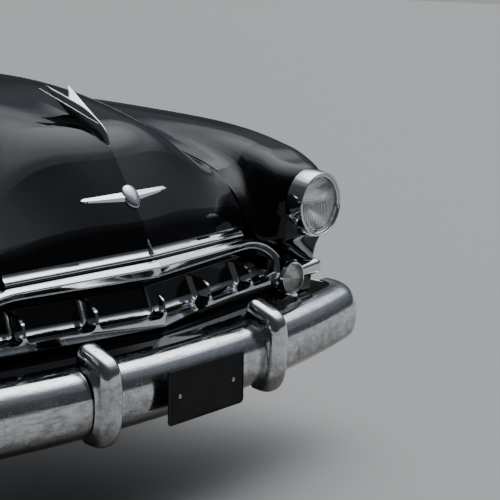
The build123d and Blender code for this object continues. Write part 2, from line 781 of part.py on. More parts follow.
# Spears: blunt chrome bars that run from the side lamps round the noses of the wings.
with BuildPart() as spear:
    with BuildSketch(Plane.XZ.offset(-sta(SIDE_LAMP_BACK + 8))):
        with BuildLine():
            half_tall = SPEAR_TALL / 2
            centre = lvl(SIDE_LAMP_HIGH) + 6
            FilletPolyline(
                (SIDE_LAMP_X, centre - half_tall),
                (SPEAR_TIP, centre - half_tall),
                (SPEAR_TIP, centre + half_tall),
                (SIDE_LAMP_X, centre + half_tall),
                radius=half_tall * 0.92,
            )
            Line((SIDE_LAMP_X, centre + half_tall), (SIDE_LAMP_X, centre - half_tall))
        make_face()
    extrude(amount=-SPEAR_DEEP)
    fillet(spear.faces().sort_by(Axis.Y)[0].edges().sort_by(Axis.X)[1:], radius=16)
    with BuildSketch(Plane.XY.offset(lvl(400))):
        with BuildLine():
            Polyline(
                (SIDE_LAMP_X - 10, sta(200)),
                (SIDE_LAMP_X - 10, sta(240)),
                (SPEAR_TIP + 10, sta(272)),
                (SPEAR_TIP + 10, sta(200)),
                close=True,
            )
        make_face()
    extrude(amount=400, mode=Mode.SUBTRACT)
    add(wing_solid, mode=Mode.SUBTRACT)
    add(shroud_outer, mode=Mode.SUBTRACT)
    with Locations(side_plane(0)):
        Cylinder(SIDE_RIM_RADIUS + SEAT, 200, mode=Mode.SUBTRACT)
keep_pair(spear.part, "side_lamp_spear")

# Grille top bar: a ridged moulding that slims out along the nose and turns down to the side lamp.
def bar_outline(tall):
    """Outline of the top bar's section, with its crest ahead of the path."""
    half_tall = tall / 2
    FilletPolyline(
        (TOP_BAR_DEEP, half_tall),
        (11, 0.86 * half_tall),
        (0, 0.3 * half_tall),
        (9, -0.8 * half_tall),
        (7, -half_tall),
        (TOP_BAR_DEEP, -half_tall),
        radius=(4, 5, 1.2, 1),
    )
    Line((TOP_BAR_DEEP, -half_tall), (TOP_BAR_DEEP, half_tall))


with BuildLine(along(TOP_BAR_BACK)) as top_path:
    FilletPolyline(
        (-60, TOP_BAR_HIGH),
        (SHOULDER, TOP_BAR_HIGH - SHOULDER_DROP),
        (SIDE_LAMP_X + 26, SIDE_LAMP_HIGH + 34),
        radius=SHOULDER_RADIUS,
    )
straight, bend, tail = top_path.edges().sort_by(Axis.X)
with BuildPart() as top_bar_half:
    for spot, tall in ((0.0, TOP_BAR_TALL), (1.0, TOP_BAR_SLIM)):
        with BuildSketch(Plane(origin=straight @ spot, x_dir=across(0).x_dir, z_dir=straight % spot)):
            with BuildLine():
                bar_outline(tall)
            make_face()
    loft()
    with BuildSketch(Plane(origin=bend @ 0, x_dir=across(0).x_dir, z_dir=bend % 0)):
        with BuildLine():
            bar_outline(TOP_BAR_SLIM)
        make_face()
    sweep(path=Wire([bend, tail]))
    add(wing_solid, mode=Mode.SUBTRACT)
    add(shroud_outer, mode=Mode.SUBTRACT)
    with Locations(side_plane(0)):
        Cylinder(SIDE_RIM_RADIUS + SEAT, 200, mode=Mode.SUBTRACT)
keep(both_halves(top_bar_half.part), "grille_top_bar")

# Grille tooth bar: a thin-walled casting whose scooped pockets are parted by upright teeth.
tooth_plane = across(TOOTH_BAR_BACK)
tooth_run = SIDE_LAMP_X / cos(radians(NOSE_TURN))
tooth_back, tooth_top = TOOTH_PROFILE[-1][:2]


def pocket_line(wall):
    """Floor and back of a pocket in the section plane, moved out of the pocket by a wall."""
    floor = TOOTH_BAR_HIGH + POCKET_FLOOR - wall
    rise = (tooth_back - POCKET_DEEP, tooth_top - POCKET_FLOOR)
    size = hypot(*rise)
    shift = wall * size / rise[1]
    foot = POCKET_DEEP + shift - wall * rise[0] / rise[1]
    over = 1.25
    return floor, (foot, floor), (foot + over * rise[0], floor + over * rise[1])


def pocket_block(start, end):
    """What a pocket takes away between two distances from the centre line, with its ends rounded."""
    floor, foot, top = pocket_line(0)
    with BuildPart() as block:
        with BuildSketch(tooth_plane.offset(start)):
            with BuildLine():
                FilletPolyline((-12, floor), foot, top, radius=POCKET_CURVE)
                Polyline(top, (-12, top[1]), (-12, floor))
            make_face()
        extrude(amount=end - start)
        for side in (0, -1):
            rim = block.faces().sort_by(Axis.X)[side].edges().filter_by(Axis.Z, reverse=True)
            fillet(rim.sort_by(Axis.Z)[:-1], radius=POCKET_CORNER)
    return block.part


pocket_blocks = []
for n in range(POCKETS + 1):
    end = (n + 1) * TOOTH_PITCH - TOOTH_THICK / 2 if n < POCKETS else tooth_run + 60
    pocket_blocks.append(pocket_block(n * TOOTH_PITCH + TOOTH_THICK / 2, end))
with BuildPart() as tooth_half:
    with BuildSketch(tooth_plane.offset(-60)):
        with BuildLine():
            FilletPolyline(
                (3, TOOTH_BAR_HIGH),
                *[(depth, TOOTH_BAR_HIGH + rise) for depth, rise, _ in TOOTH_PROFILE],
                (tooth_back, TOOTH_BAR_HIGH),
                radius=[radius for _, _, radius in TOOTH_PROFILE],
            )
            Line((tooth_back, TOOTH_BAR_HIGH), (3, TOOTH_BAR_HIGH))
        make_face()
    extrude(amount=tooth_run + 60)
    floor, foot, top = pocket_line(CAST_WALL)
    with BuildSketch(tooth_plane.offset(-70)):
        with BuildLine():
            low = TOOTH_BAR_HIGH - 10
            FilletPolyline((CAST_WALL, low), (CAST_WALL, floor), foot, top, radius=(2, POCKET_CURVE + CAST_WALL))
            Polyline(top, (top[0] + 60, low), (CAST_WALL, low))
        make_face()
    extrude(amount=tooth_run + 80, mode=Mode.SUBTRACT)
    for block in pocket_blocks:
        add(block, mode=Mode.SUBTRACT)
    add(wing_solid, mode=Mode.SUBTRACT)
    add(shroud_outer, mode=Mode.SUBTRACT)
    with Locations(side_plane(0)):
        Cylinder(SIDE_RIM_RADIUS + SEAT, 200, mode=Mode.SUBTRACT)
keep(both_halves(tooth_half.part), "grille_tooth_bar")

# Grille panel: the black lining behind the teeth and the deck under the bonnet's lip.
with BuildPart() as lining_half:
    with BuildSketch(across(TOOTH_BAR_BACK).offset(-60)):
        with BuildLine():
            deck_front = TOP_BAR_BACK - TOOTH_BAR_BACK + TOP_BAR_DEEP + SEAT
            lining = [
                (tooth_back + SEAT, TOOTH_BAR_HIGH),
                (tooth_back + SEAT, TOOTH_BAR_HIGH + tooth_top + 4),
                (tooth_back + 26, DECK_HIGH),
                (deck_front, DECK_HIGH),
            ]
            back_line, back_radii = inset(lining, (60, 12), SHEET)
            FilletPolyline(*lining, radius=(60, 12))
            Line(lining[-1], back_line[-1])
            FilletPolyline(*back_line, radius=back_radii)
            Line(back_line[0], lining[0])
        make_face()
    extrude(amount=SIDE_LAMP_X + 40)
    add(wing_solid, mode=Mode.SUBTRACT)
    add(shroud_outer, mode=Mode.SUBTRACT)
keep(both_halves(lining_half.part), "grille_panel")

# Splash pan from under the grille down to the back of the bumper.
with BuildPart() as pan_half:
    for x in (0.0, 240.0, 480.0, 712.0):
        upper = TOOTH_BAR_BACK + CAST_WALL + SEAT + x * NOSE_SLOPE
        lower = BUMPER_BACK + x**2 / (2 * BUMPER_SWEEP) + BUMPER_FACE[0][0] + PAN_GAP
        with BuildSketch(Plane.YZ.offset(x)):
            with BuildLine():
                Polyline(
                    (sta(upper), lvl(TOOTH_BAR_HIGH + 10)),
                    (sta(upper + 6), lvl(TOOTH_BAR_HIGH - 20)),
                    (sta(lower), lvl(PAN_LOW + 24)),
                    (sta(lower), lvl(PAN_LOW)),
                    (sta(lower + SHEET), lvl(PAN_LOW)),
                    (sta(lower + SHEET), lvl(PAN_LOW + 22)),
                    (sta(upper + 6 + SHEET), lvl(TOOTH_BAR_HIGH - 22)),
                    (sta(upper + SHEET), lvl(TOOTH_BAR_HIGH + 10)),
                    close=True,
                )
            make_face()
    loft(ruled=True)
    add(shroud_outer, mode=Mode.SUBTRACT)
    add(wing_solid, mode=Mode.SUBTRACT)
    with Locations(side_plane(0)):
        Cylinder(SIDE_RIM_RADIUS + SEAT, 200, mode=Mode.SUBTRACT)
keep(both_halves(pan_half.part), "gravel_pan")

# Stays from the deck of the grille panel back to the radiator support.
with BuildPart() as stay:
    stay_front = TOOTH_BAR_BACK + STAY_X * NOSE_SLOPE + tooth_back - 5
    length = SUPPORT_BACK - SEAT - stay_front
    with Locations((STAY_X, sta(stay_front + length / 2), lvl(DECK_HIGH) + SHEET + SEAT + 3)):
        Box(40, length, 6)
keep_pair(stay.part, "grille_stay")

# Bumper bar: a C-section carried along the plan line and round the corners.
bumper_solid = bumper_block(-SEAT)
with BuildPart() as bumper_bar:
    add(bumper_block(0))
    add(bumper_block(BUMPER_WALL), mode=Mode.SUBTRACT)
    clear = BUMPER_HALF - 19
    with Locations((0, sta(BUMPER_FLAT + 300), lvl(400))):
        Box(2 * clear, 600, 400, mode=Mode.SUBTRACT)
keep(bumper_bar.part, "bumper_bar")

# Bumper irons: bars that slide into the frame rails and spread to a foot against the back of the bumper.
iron_wide = RAIL_WIDE - 2 * RAIL_WALL - 2 * SEAT
with BuildPart() as iron_foot:
    with Locations((RAIL_X, sta(IRON_FOOT - 60), lvl(IRON_HIGH))):
        Box(iron_wide + 50, 120, IRON_TALL)
    add(bumper_block(BUMPER_WALL + SEAT), mode=Mode.INTERSECT)
with BuildPart() as bumper_iron:
    add(iron_foot.part)
    length = RAIL_START + IRON_IN - IRON_FOOT
    with Locations((RAIL_X, sta(IRON_FOOT + length / 2), lvl(IRON_HIGH))):
        Box(iron_wide, length, IRON_TALL)
keep_pair(bumper_iron.part, "bumper_iron")

# Overriders: blunt horns that cap the bumper bar and hook in under it.
with BuildPart() as overrider:
    with BuildSketch(Plane.YZ.offset(OVERRIDER_X - OVERRIDER_WIDE / 2)):
        with BuildLine():
            FilletPolyline(
                *[(sta(back), lvl(high)) for back, high, _ in OVERRIDER_SIDE],
                radius=[radius for _, _, radius in OVERRIDER_SIDE],
                close=True,
            )
        make_face()
    extrude(amount=OVERRIDER_WIDE)
    flanks = overrider.faces().sort_by(Axis.X)
    fillet(flanks[0].edges() + flanks[-1].edges(), radius=OVERRIDER_ROUND)
    add(bumper_solid, mode=Mode.SUBTRACT)
keep_pair(overrider.part, "overrider")

# Number plate.
with BuildPart() as plate:
    with BuildSketch(Plane.XZ.offset(-sta(PLATE_THICK))):
        with Locations((0, lvl(PLATE_HIGH))):
            RectangleRounded(PLATE_WIDE, PLATE_TALL, 8)
    extrude(amount=PLATE_THICK)
keep(plate.part, "number_plate")

with BuildPart() as plate_bracket:
    with Locations((0, sta(PLATE_THICK + SEAT + 1), lvl(PLATE_HIGH + 20))):
        Box(PLATE_WIDE - 60, 2, 70)
    with Locations((-95, sta(24), lvl(PLATE_HIGH + 30)), (95, sta(24), lvl(PLATE_HIGH + 30))):
        Box(34, 40, 44)
    add(bumper_solid, mode=Mode.SUBTRACT)
keep(plate_bracket.part, "plate_bracket")

# Chassis frame rails.
with BuildPart() as rail:
    with BuildSketch(Plane.XZ.offset(-sta(RAIL_START))):
        with Locations((RAIL_X, RAIL_TALL / 2)):
            Rectangle(RAIL_WIDE, RAIL_TALL)
            Rectangle(RAIL_WIDE - 2 * RAIL_WALL, RAIL_TALL - 2 * RAIL_WALL, mode=Mode.SUBTRACT)
    extrude(amount=-(RAIL_END - RAIL_START))
    with Locations((RAIL_X, -BOLT_STEP / 2, RAIL_WALL / 2), (RAIL_X, BOLT_STEP / 2, RAIL_WALL / 2)):
        Cylinder(BOLT_HOLE / 2, 2 * RAIL_WALL, mode=Mode.SUBTRACT)
keep_pair(rail.part, "frame_rail")

cross_wide = 2 * RAIL_X - RAIL_WIDE - 2 * SEAT
with BuildPart() as cross:
    with Locations((0, sta(CROSS_BACK), RAIL_TALL / 2)):
        Box(cross_wide, CROSS_LONG, RAIL_TALL - 10)
        Box(cross_wide + 2, CROSS_LONG - 2 * RAIL_WALL, RAIL_TALL - 10 - 2 * RAIL_WALL, mode=Mode.SUBTRACT)
keep(cross.part, "front_crossmember")

# Radiator support and radiator.
with BuildPart() as support:
    support_foot = RAIL_TALL + SEAT
    with BuildSketch(Plane.XZ.offset(-sta(SUPPORT_BACK))):
        with BuildLine():
            half = BONNET_HALF
            Polyline(
                (-half, support_foot),
                (-half, lvl(SUPPORT_HIGH)),
                (-0.7 * half, lvl(SUPPORT_HIGH) + 40),
                (0.7 * half, lvl(SUPPORT_HIGH) + 40),
                (half, lvl(SUPPORT_HIGH)),
                (half, support_foot),
                close=True,
            )
        make_face()
        with Locations((0, lvl(CORE_HIGH))):
            Rectangle(CORE_WIDE - 30, CORE_TALL - 20, mode=Mode.SUBTRACT)
    extrude(amount=-SHEET)
keep(support.part, "radiator_support")

core_plane = sta(SUPPORT_BACK) + SHEET + SEAT + CORE_DEEP / 2
with BuildPart() as core:
    with Locations((0, core_plane, lvl(CORE_HIGH))):
        Box(CORE_WIDE, CORE_DEEP, CORE_TALL)
keep(core.part, "radiator")

tank_centre = CORE_TALL / 2 + TANK_TALL / 2 + SEAT
with BuildPart() as tank_top:
    with Locations((0, core_plane, lvl(CORE_HIGH) + tank_centre)):
        Box(CORE_WIDE + 10, CORE_DEEP, TANK_TALL)
    fillet(tank_top.edges().group_by(Axis.Z)[-1], radius=12)
    with Locations((0, core_plane, lvl(CORE_HIGH) + tank_centre + TANK_TALL / 2)):
        Cylinder(FILLER_RADIUS, 24, align=(Align.CENTER, Align.CENTER, Align.MIN))
    with BuildSketch(Plane.XZ.offset(-core_plane)):
        with Locations((CORE_WIDE / 4, lvl(CORE_HIGH) + tank_centre)):
            Circle(HOSE_RADIUS)
    extrude(amount=-CORE_DEEP / 2 - 40)
keep(tank_top.part, "radiator_tank_top")

with BuildPart() as tank_low:
    with Locations((0, core_plane, lvl(CORE_HIGH) - tank_centre)):
        Box(CORE_WIDE + 10, CORE_DEEP, TANK_TALL)
    fillet(tank_low.edges().group_by(Axis.Z)[0], radius=12)
    with BuildSketch(Plane.XZ.offset(-core_plane)):
        with Locations((-CORE_WIDE / 4, lvl(CORE_HIGH) - tank_centre)):
            Circle(HOSE_RADIUS)
    extrude(amount=-CORE_DEEP / 2 - 40)
keep(tank_low.part, "radiator_tank_low")

# Bonnet lock on top of the radiator support, and the striker pin that drops into it.
lock_top = lvl(SUPPORT_HIGH) + 40 - 4
with BuildPart() as lock:
    with Locations((0, sta(SUPPORT_BACK) - SEAT - LOCK_DEEP / 2, lock_top - LOCK_TALL / 2)):
        Box(80, LOCK_DEEP, LOCK_TALL)
    with Locations((0, sta(SUPPORT_BACK) - SEAT - LOCK_DEEP / 2, lock_top)):
        Cylinder(STRIKER_RADIUS + STRIKER_ROOM, 2 * LOCK_TALL - 8, mode=Mode.SUBTRACT)
keep(lock.part, "bonnet_lock")

striker_back = SUPPORT_BACK - SEAT - LOCK_DEEP / 2
pad_low = shut_line(striker_back, BONNET_ROWS[0]) - RIB_TOP - RIB_DEPTH - 30
with BuildPart() as striker:
    with Locations((0, sta(striker_back), lock_top - 14)):
        Cylinder(STRIKER_RADIUS, pad_low - lock_top + 20, align=(Align.CENTER, Align.CENTER, Align.MIN))
    with BuildSketch(Plane.XY.offset(pad_low)):
        with Locations((0, sta(striker_back))):
            RectangleRounded(60, 44, 6)
    extrude(amount=90)
    add(bonnet_shell(-200, RIB_TOP + RIB_DEPTH + SEAT), mode=Mode.SUBTRACT)
keep(striker.part, "bonnet_striker")

# Bonnet hinges: an arm under each rear corner, turning on a pin in a bracket on the inner apron.
HINGE_X = BONNET_HALF - HINGE_IN
pin_line = Plane((HINGE_X, sta(HINGE_BACK), lvl(HINGE_HIGH)), x_dir=(0, 1, 0), z_dir=(1, 0, 0))
with BuildPart() as hinge_arm:
    with BuildSketch(Plane.YZ.offset(HINGE_X - HINGE_ARM / 2)):
        with BuildLine():
            Polyline(
                (sta(HINGE_BACK) - 16, lvl(HINGE_HIGH) - 16),
                (sta(HINGE_BACK) + 16, lvl(HINGE_HIGH) - 16),
                (sta(HINGE_BACK) + 16, lvl(HINGE_HIGH) + 140),
                (sta(HINGE_BACK) - 240, lvl(HINGE_HIGH) + 140),
                (sta(HINGE_BACK) - 240, lvl(HINGE_HIGH)),
                close=True,
            )
        make_face()
    extrude(amount=HINGE_ARM)
    with Locations(pin_line):
        Cylinder(PIN_RADIUS + PIN_PLAY, 3 * HINGE_ARM, mode=Mode.SUBTRACT)
    add(bonnet_shell(-200, RIB_TOP + RIB_DEPTH + SEAT), mode=Mode.SUBTRACT)
keep_pair(hinge_arm.part, "hinge_arm")

with BuildPart() as hinge_bracket:
    ear_x = HINGE_X + HINGE_ARM / 2 + 1
    shelf = lvl(HINGE_HIGH) - HINGE_DROP
    reach = APRON_X - SEAT - ear_x
    with BuildSketch(Plane.YZ.offset(ear_x)):
        with BuildLine():
            Polyline(
                (sta(HINGE_BACK) - 30, shelf),
                (sta(HINGE_BACK) + 30, shelf),
                (sta(HINGE_BACK) + 14, lvl(HINGE_HIGH)),
                (sta(HINGE_BACK) - 14, lvl(HINGE_HIGH)),
                close=True,
            )
        make_face()
        with Locations((sta(HINGE_BACK), lvl(HINGE_HIGH))):
            Circle(14)
    extrude(amount=HINGE_EAR)
    with Locations((ear_x + reach / 2, sta(HINGE_BACK), shelf - HINGE_EAR / 2)):
        Box(reach, 60, HINGE_EAR)
    with Locations((APRON_X - SEAT - HINGE_EAR / 2, sta(HINGE_BACK), shelf - 30)):
        Box(HINGE_EAR, 60, 60)
    with Locations(pin_line.offset(-HINGE_ARM / 2 - 3)):
        Cylinder(PIN_RADIUS, HINGE_ARM + HINGE_EAR + 4, align=(Align.CENTER, Align.CENTER, Align.MIN))
keep_pair(hinge_bracket.part, "hinge_bracket")

os.makedirs("parts", exist_ok=True)
for name, part in made.items():
    export_step(part, f"parts/{name}.step")
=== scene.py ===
import math

import bmesh
import bpy
import numpy as np
from bpy.props import FloatProperty, FloatVectorProperty, IntProperty, PointerProperty
from mathutils import Matrix, Vector


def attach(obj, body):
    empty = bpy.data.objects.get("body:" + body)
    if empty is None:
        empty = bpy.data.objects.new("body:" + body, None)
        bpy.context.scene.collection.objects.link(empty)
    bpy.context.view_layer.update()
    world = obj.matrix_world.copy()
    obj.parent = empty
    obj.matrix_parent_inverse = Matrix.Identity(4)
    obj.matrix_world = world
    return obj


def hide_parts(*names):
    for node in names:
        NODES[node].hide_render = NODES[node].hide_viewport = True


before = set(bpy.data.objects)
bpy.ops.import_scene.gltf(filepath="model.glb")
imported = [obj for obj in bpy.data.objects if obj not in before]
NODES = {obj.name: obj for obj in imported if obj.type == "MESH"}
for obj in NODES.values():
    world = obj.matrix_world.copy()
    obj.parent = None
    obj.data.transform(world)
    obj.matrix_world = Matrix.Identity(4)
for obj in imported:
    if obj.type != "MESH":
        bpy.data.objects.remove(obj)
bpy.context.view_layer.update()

bl_info = {
    "name": "Saloon Front End",
    "version": (1, 0, 0),
    "blender": (4, 5, 0),
    "location": "View3D > Sidebar > Front End",
    "description": "Finishes a saloon car's front end: paint, chrome, lamps, radiator and fasteners",
    "category": "Object",
}

MM = 0.001

# The frame's datum: Y of the bumper's face and height of the frame rails over the road, in metres.
NOSE = 1.490
RIDE = 0.350

# Middles of the left lamps' glasses, in millimetres across, behind the bumper's face and above the road.
HEADLAMP = (705.0, 180.0, 793.0)
SIDE_LAMP = (655.0, 238.0, 556.0)

# Heights over the road of the badge's and the number plate's middles, in millimetres.
BADGE_HIGH = 890.0
PLATE_HIGH = 394.0

SIDES = (("left", 1), ("right", -1))
QUARTER = math.pi / 2


def place(x, back, high):
    """Points from millimetres across, behind the bumper's face and above the road, in the frame."""
    return np.stack(np.broadcast_arrays(x * MM, back * MM - NOSE, high * MM - RIDE), axis=-1)


# Sizes and colours that a user would change.


def color_setting(name, description, default):
    """A colour that the user can pick."""
    return FloatVectorProperty(
        name=name, description=description, default=default, min=0.0, max=1.0, subtype="COLOR")


def fraction_setting(name, description, default):
    """A slider from 0 to 1."""
    return FloatProperty(name=name, description=description, default=default, min=0.0, max=1.0)


def length_setting(name, description, default, low, high):
    """A length in metres between two limits."""
    return FloatProperty(
        name=name, description=description, default=default, min=low, max=high, unit="LENGTH")


def angle_setting(name, description, degrees):
    """An angle, given in degrees."""
    return FloatProperty(name=name, description=description, default=math.radians(degrees), subtype="ANGLE")


class PaintSettings(bpy.types.PropertyGroup):
    body_color: color_setting("Body Colour", "Colour of the gloss body paint", (0.0035, 0.0037, 0.0045))
    peel_size: length_setting("Orange Peel Size", "Size of the ripples in the paint", 0.006, 0.001, 0.05)
    peel_height: fraction_setting("Orange Peel Height", "Strength of the ripples in the paint", 0.018)
    dust: fraction_setting("Dust", "How much fine dust lies on the paint", 0.35)


class ChromeSettings(bpy.types.PropertyGroup):
    color: color_setting("Chrome Colour", "Colour of the bright plating", (0.76, 0.78, 0.80))
    spots: fraction_setting("Water Spots", "How far dried water spots dull the bumper", 0.8)
    pitting: fraction_setting("Pitting", "How far corrosion has pitted the bumper", 0.7)
    # Brown on the bumper's lower faces: road film and a painted reflection of dark ground.
    road_film_and_reflection: fraction_setting("Road Film", "How far road film browns the bumper's lower faces", 0.8)


class LampSettings(bpy.types.PropertyGroup):
    flute_pitch: length_setting("Flute Pitch", "Width of the headlamp glass's flutes", 0.008, 0.003, 0.03)
    flute_depth: length_setting("Flute Depth", "Depth of the headlamp glass's flutes", 0.0009, 0.0, 0.002)
    check_pitch: length_setting("Check Pitch", "Size of the headlamp glass's squares", 0.0065, 0.003, 0.03)
    frost: fraction_setting("Side Lamp Frost", "Roughness of the side lamp glass", 0.32)


class TrimSettings(bpy.types.PropertyGroup):
    dart_width: length_setting("Dart Width", "Width of the ornament's body", 0.020, 0.008, 0.04)
    fin_grooves: IntProperty(
        name="Fin Grooves", description="Grooves along each fin of the ornament", default=4, min=0, max=10)
    spear_round: FloatProperty(
        name="Spear Roundness", description="Bluntness of the spears' section: 2 is a half circle",
        default=3.2, min=2.0, max=8.0)


class ChassisSettings(bpy.types.PropertyGroup):
    tubes: IntProperty(
        name="Radiator Tubes", description="Tubes across the radiator core", default=37, min=10, max=60)
    fin_pitch: length_setting("Fin Pitch", "Height of one fold of the radiator's fins", 0.0048, 0.002, 0.02)
    bolt_size: length_setting("Bolt Size", "Width across the flats of the body bolts", 0.0127, 0.006, 0.03)


class StageSettings(bpy.types.PropertyGroup):
    floor_color: color_setting("Floor Colour", "Colour of the studio floor", (0.47, 0.47, 0.46))
    floor_drop: length_setting("Road Level", "Depth of the road under the frame bolts", RIDE, 0.0, 2.0)
    sky: FloatProperty(
        name="Dome Light", description="Strength of the soft light", default=1.3, min=0.0, max=5.0)
    lens: FloatProperty(
        name="Focal Length", description="Focal length of the camera", default=106.75, unit="CAMERA")
    camera_at: FloatVectorProperty(
        name="Camera Position", description="Where the camera stands", subtype="TRANSLATION",
        default=(-2.8767, -4.1148, 1.2558))
    camera_turn: angle_setting("Camera Heading", "Turn of the camera from straight at the nose", 49.264)
    camera_tip: angle_setting("Camera Tilt", "Downward tilt of the camera", 11.954)
    camera_roll: angle_setting("Camera Roll", "Roll of the camera", 0.80)


# Shapes worked out on grids.


def cells(points, closed=False):
    """The quads of a grid of points, as one shell; closed joins the last column to the first."""
    rows, columns = points.shape[:2]
    order = np.arange(rows * columns).reshape(rows, columns)
    if closed:
        order = np.hstack([order, order[:, :1]])
    quads = np.stack([order[:-1, :-1], order[1:, :-1], order[1:, 1:], order[:-1, 1:]], axis=-1)
    return points.reshape(-1, 3), quads.reshape(-1, 4)


def repeated(shell, places):
    """Copies of one shell moved to each of the given places."""
    points, quads = shell
    many = points[None] + np.asarray(places)[:, None]
    faces = quads[None] + np.arange(len(places))[:, None, None] * len(points)
    return many.reshape(-1, 3), faces.reshape(-1, 4)


def smooth_line(stations, values, at):
    """A smooth line through values at stations: cubic spans with slopes from the neighbouring values."""
    stations = np.asarray(stations, float)
    values = np.asarray(values, float).reshape(len(stations), -1)
    slopes = np.gradient(values, stations, axis=0)
    span = np.clip(np.searchsorted(stations, at, side="right") - 1, 0, len(stations) - 2)
    length = (stations[span + 1] - stations[span])[:, None]
    t = (at - stations[span])[:, None] / length
    start = (2 * t**3 - 3 * t**2 + 1) * values[span] + (t**3 - 2 * t**2 + t) * length * slopes[span]
    end = (3 * t**2 - 2 * t**3) * values[span + 1] + (t**3 - t**2) * length * slopes[span + 1]
    return start + end


def disc(radius, across, up):
    """A square grid drawn in to a disc: x = u sqrt(1 - v*v/2) and z = v sqrt(1 - u*u/2)."""
    u = np.linspace(-1, 1, across)[None, :]
    v = np.linspace(-1, 1, up)[:, None]
    return radius * u * np.sqrt(1 - v**2 / 2), radius * v * np.sqrt(1 - u**2 / 2)


def border(grid):
    """The outer loop of a grid of points, in order."""
    return np.concatenate([grid[0, :-1], grid[:-1, -1], grid[-1, :0:-1], grid[:0:-1, 0]])


def turned(profile, x, high, count=96):
    """A profile of (back, radius) pairs swung in a full circle about a fore-and-aft axis at x and high."""
    profile = np.asarray(profile, float)
    turn = np.linspace(0, 2 * math.pi, count, endpoint=False)[None, :]
    back, radius = profile[:, :1], profile[:, 1:]
    return cells(place(x + radius * np.cos(turn), back, high + radius * np.sin(turn)), closed=True)


def box_shell(x, back, high, size):
    """A box between rings: a closed loop of its four uprights, drawn in to a point at both ends."""
    half = np.asarray(size, float) / 2
    side = np.array([-1, 1, 1, -1])[None, :] * half[0]
    depth = np.array([-1, -1, 1, 1])[None, :] * half[1]
    rise = np.array([-1, -1, 1, 1])[:, None] * half[2]
    keep = np.array([0, 1, 1, 0])[:, None]
    return cells(place(x + side * keep, back + depth * keep, high + rise), closed=True)


def poles(rings):
    """Rings of points with a point at the middle of the first and of the last one, as one closed shell."""
    ends = [np.repeat(rings[i : i + 1].mean(axis=1, keepdims=True), rings.shape[1], axis=1) for i in (0, -1)]
    return cells(np.concatenate([ends[0], rings, ends[1]]), closed=True)


def front_of(node, x, high):
    """Millimetres from the bumper's face back to a CAD node's first surface, by rays from the front."""
    x, high = np.broadcast_arrays(np.asarray(x, float), np.asarray(high, float))
    backs = []
    for spot in place(x.ravel(), -500.0, high.ravel()):
        found, point, _, _ = NODES[node].ray_cast(Vector(spot), Vector((0.0, 1.0, 0.0)))
        backs.append((point.y + NOSE) / MM if found else np.nan)
    backs = np.asarray(backs)
    backs[np.isnan(backs)] = np.nanmax(backs)
    return backs.reshape(x.shape)


def make_piece(name, shells, material, body="front_end", nodes=(), crease=35.0):
    """Joins shells into one closed piece that rides on a body and stands for the named CAD nodes, if any.

    It is shaded smooth but for edges that turn by more than the crease angle, in degrees.
    """
    points = np.concatenate([shell[0] for shell in shells])
    starts = np.cumsum([0] + [len(shell[0]) for shell in shells[:-1]])
    faces = np.concatenate([shell[1] + start for shell, start in zip(shells, starts)])
    mesh = bpy.data.meshes.new(name)
    mesh.from_pydata(points.tolist(), [], faces.tolist())
    shape = bmesh.new()
    shape.from_mesh(mesh)
    bmesh.ops.remove_doubles(shape, verts=shape.verts, dist=1e-6)
    bmesh.ops.recalc_face_normals(shape, faces=shape.faces)
    shape.to_mesh(mesh)
    shape.free()
    mesh.shade_smooth()
    mesh.set_sharp_from_angle(angle=math.radians(crease))
    mesh.materials.append(material)
    piece = bpy.data.objects.new(name, mesh)
    bpy.context.scene.collection.objects.link(piece)
    if nodes:
        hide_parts(*nodes)
    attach(piece, body)


# Shader building.


def new_material(name):
    """A new node material, its node tree and its Principled shader."""
    material = bpy.data.materials.new(name)
    material.use_nodes = True
    return material, material.node_tree, material.node_tree.nodes["Principled BSDF"]


def fill(tree, node, inputs):
    """Links or sets a node's inputs by name or number, and hands the node back."""
    for label, value in inputs.items():
        if isinstance(value, bpy.types.NodeSocket):
            tree.links.new(value, node.inputs[label])
        else:
            node.inputs[label].default_value = value
    return node


def new_node(tree, kind, inputs):
    """A new node of a kind with its inputs linked or set."""
    return fill(tree, tree.nodes.new(kind), inputs)


def math_node(tree, operation, one, two=0.0):
    """A Math node's output socket."""
    node = new_node(tree, "ShaderNodeMath", {0: one, 1: two})
    node.operation = operation
    return node.outputs[0]


def plus(tree, one, two):
    """The sum of two values, as an output socket."""
    return math_node(tree, "ADD", one, two)


def minus(tree, one, two):
    """One value less another, as an output socket."""
    return math_node(tree, "SUBTRACT", one, two)


def times(tree, one, two):
    """The product of two values, as an output socket."""
    return math_node(tree, "MULTIPLY", one, two)


def highest(tree, one, two):
    """The greater of two values, as an output socket."""
    return math_node(tree, "MAXIMUM", one, two)


def noise_node(tree, vector, scale, detail, roughness):
    """A Noise texture's value at a scale in cells per metre."""
    inputs = {"Vector": vector, "Scale": scale, "Detail": detail, "Roughness": roughness}
    return new_node(tree, "ShaderNodeTexNoise", inputs).outputs["Fac"]


def ramp_node(tree, value, low, high):
    """A value stretched from low..high to 0..1 and held there."""
    inputs = {"Value": value, "From Min": low, "From Max": high}
    return new_node(tree, "ShaderNodeMapRange", inputs).outputs["Result"]


def color_mix(tree, factor, one, two):
    """A colour that goes from one to two by a factor, as an output socket."""
    node = tree.nodes.new("ShaderNodeMix")
    node.data_type = "RGBA"
    one, two = [part if isinstance(part, bpy.types.NodeSocket) else (*part, 1) for part in (one, two)]
    return fill(tree, node, {"Factor": factor, "A": one, "B": two}).outputs["Result"]


def value_mix(tree, factor, one, two):
    """A value that goes from one to two by a factor, as an output socket."""
    return plus(tree, times(tree, minus(tree, two, one), factor), one)


def where(tree, output):
    """The place on the object, its normal there or, in the world, the direction, as an output socket."""
    return tree.nodes.new("ShaderNodeTexCoord").outputs[output]


def parts(tree, output):
    """X, Y and Z of the place on the object, or of its normal there, as output sockets."""
    node = new_node(tree, "ShaderNodeSeparateXYZ", {0: where(tree, output)})
    return [node.outputs[axis] for axis in "XYZ"]


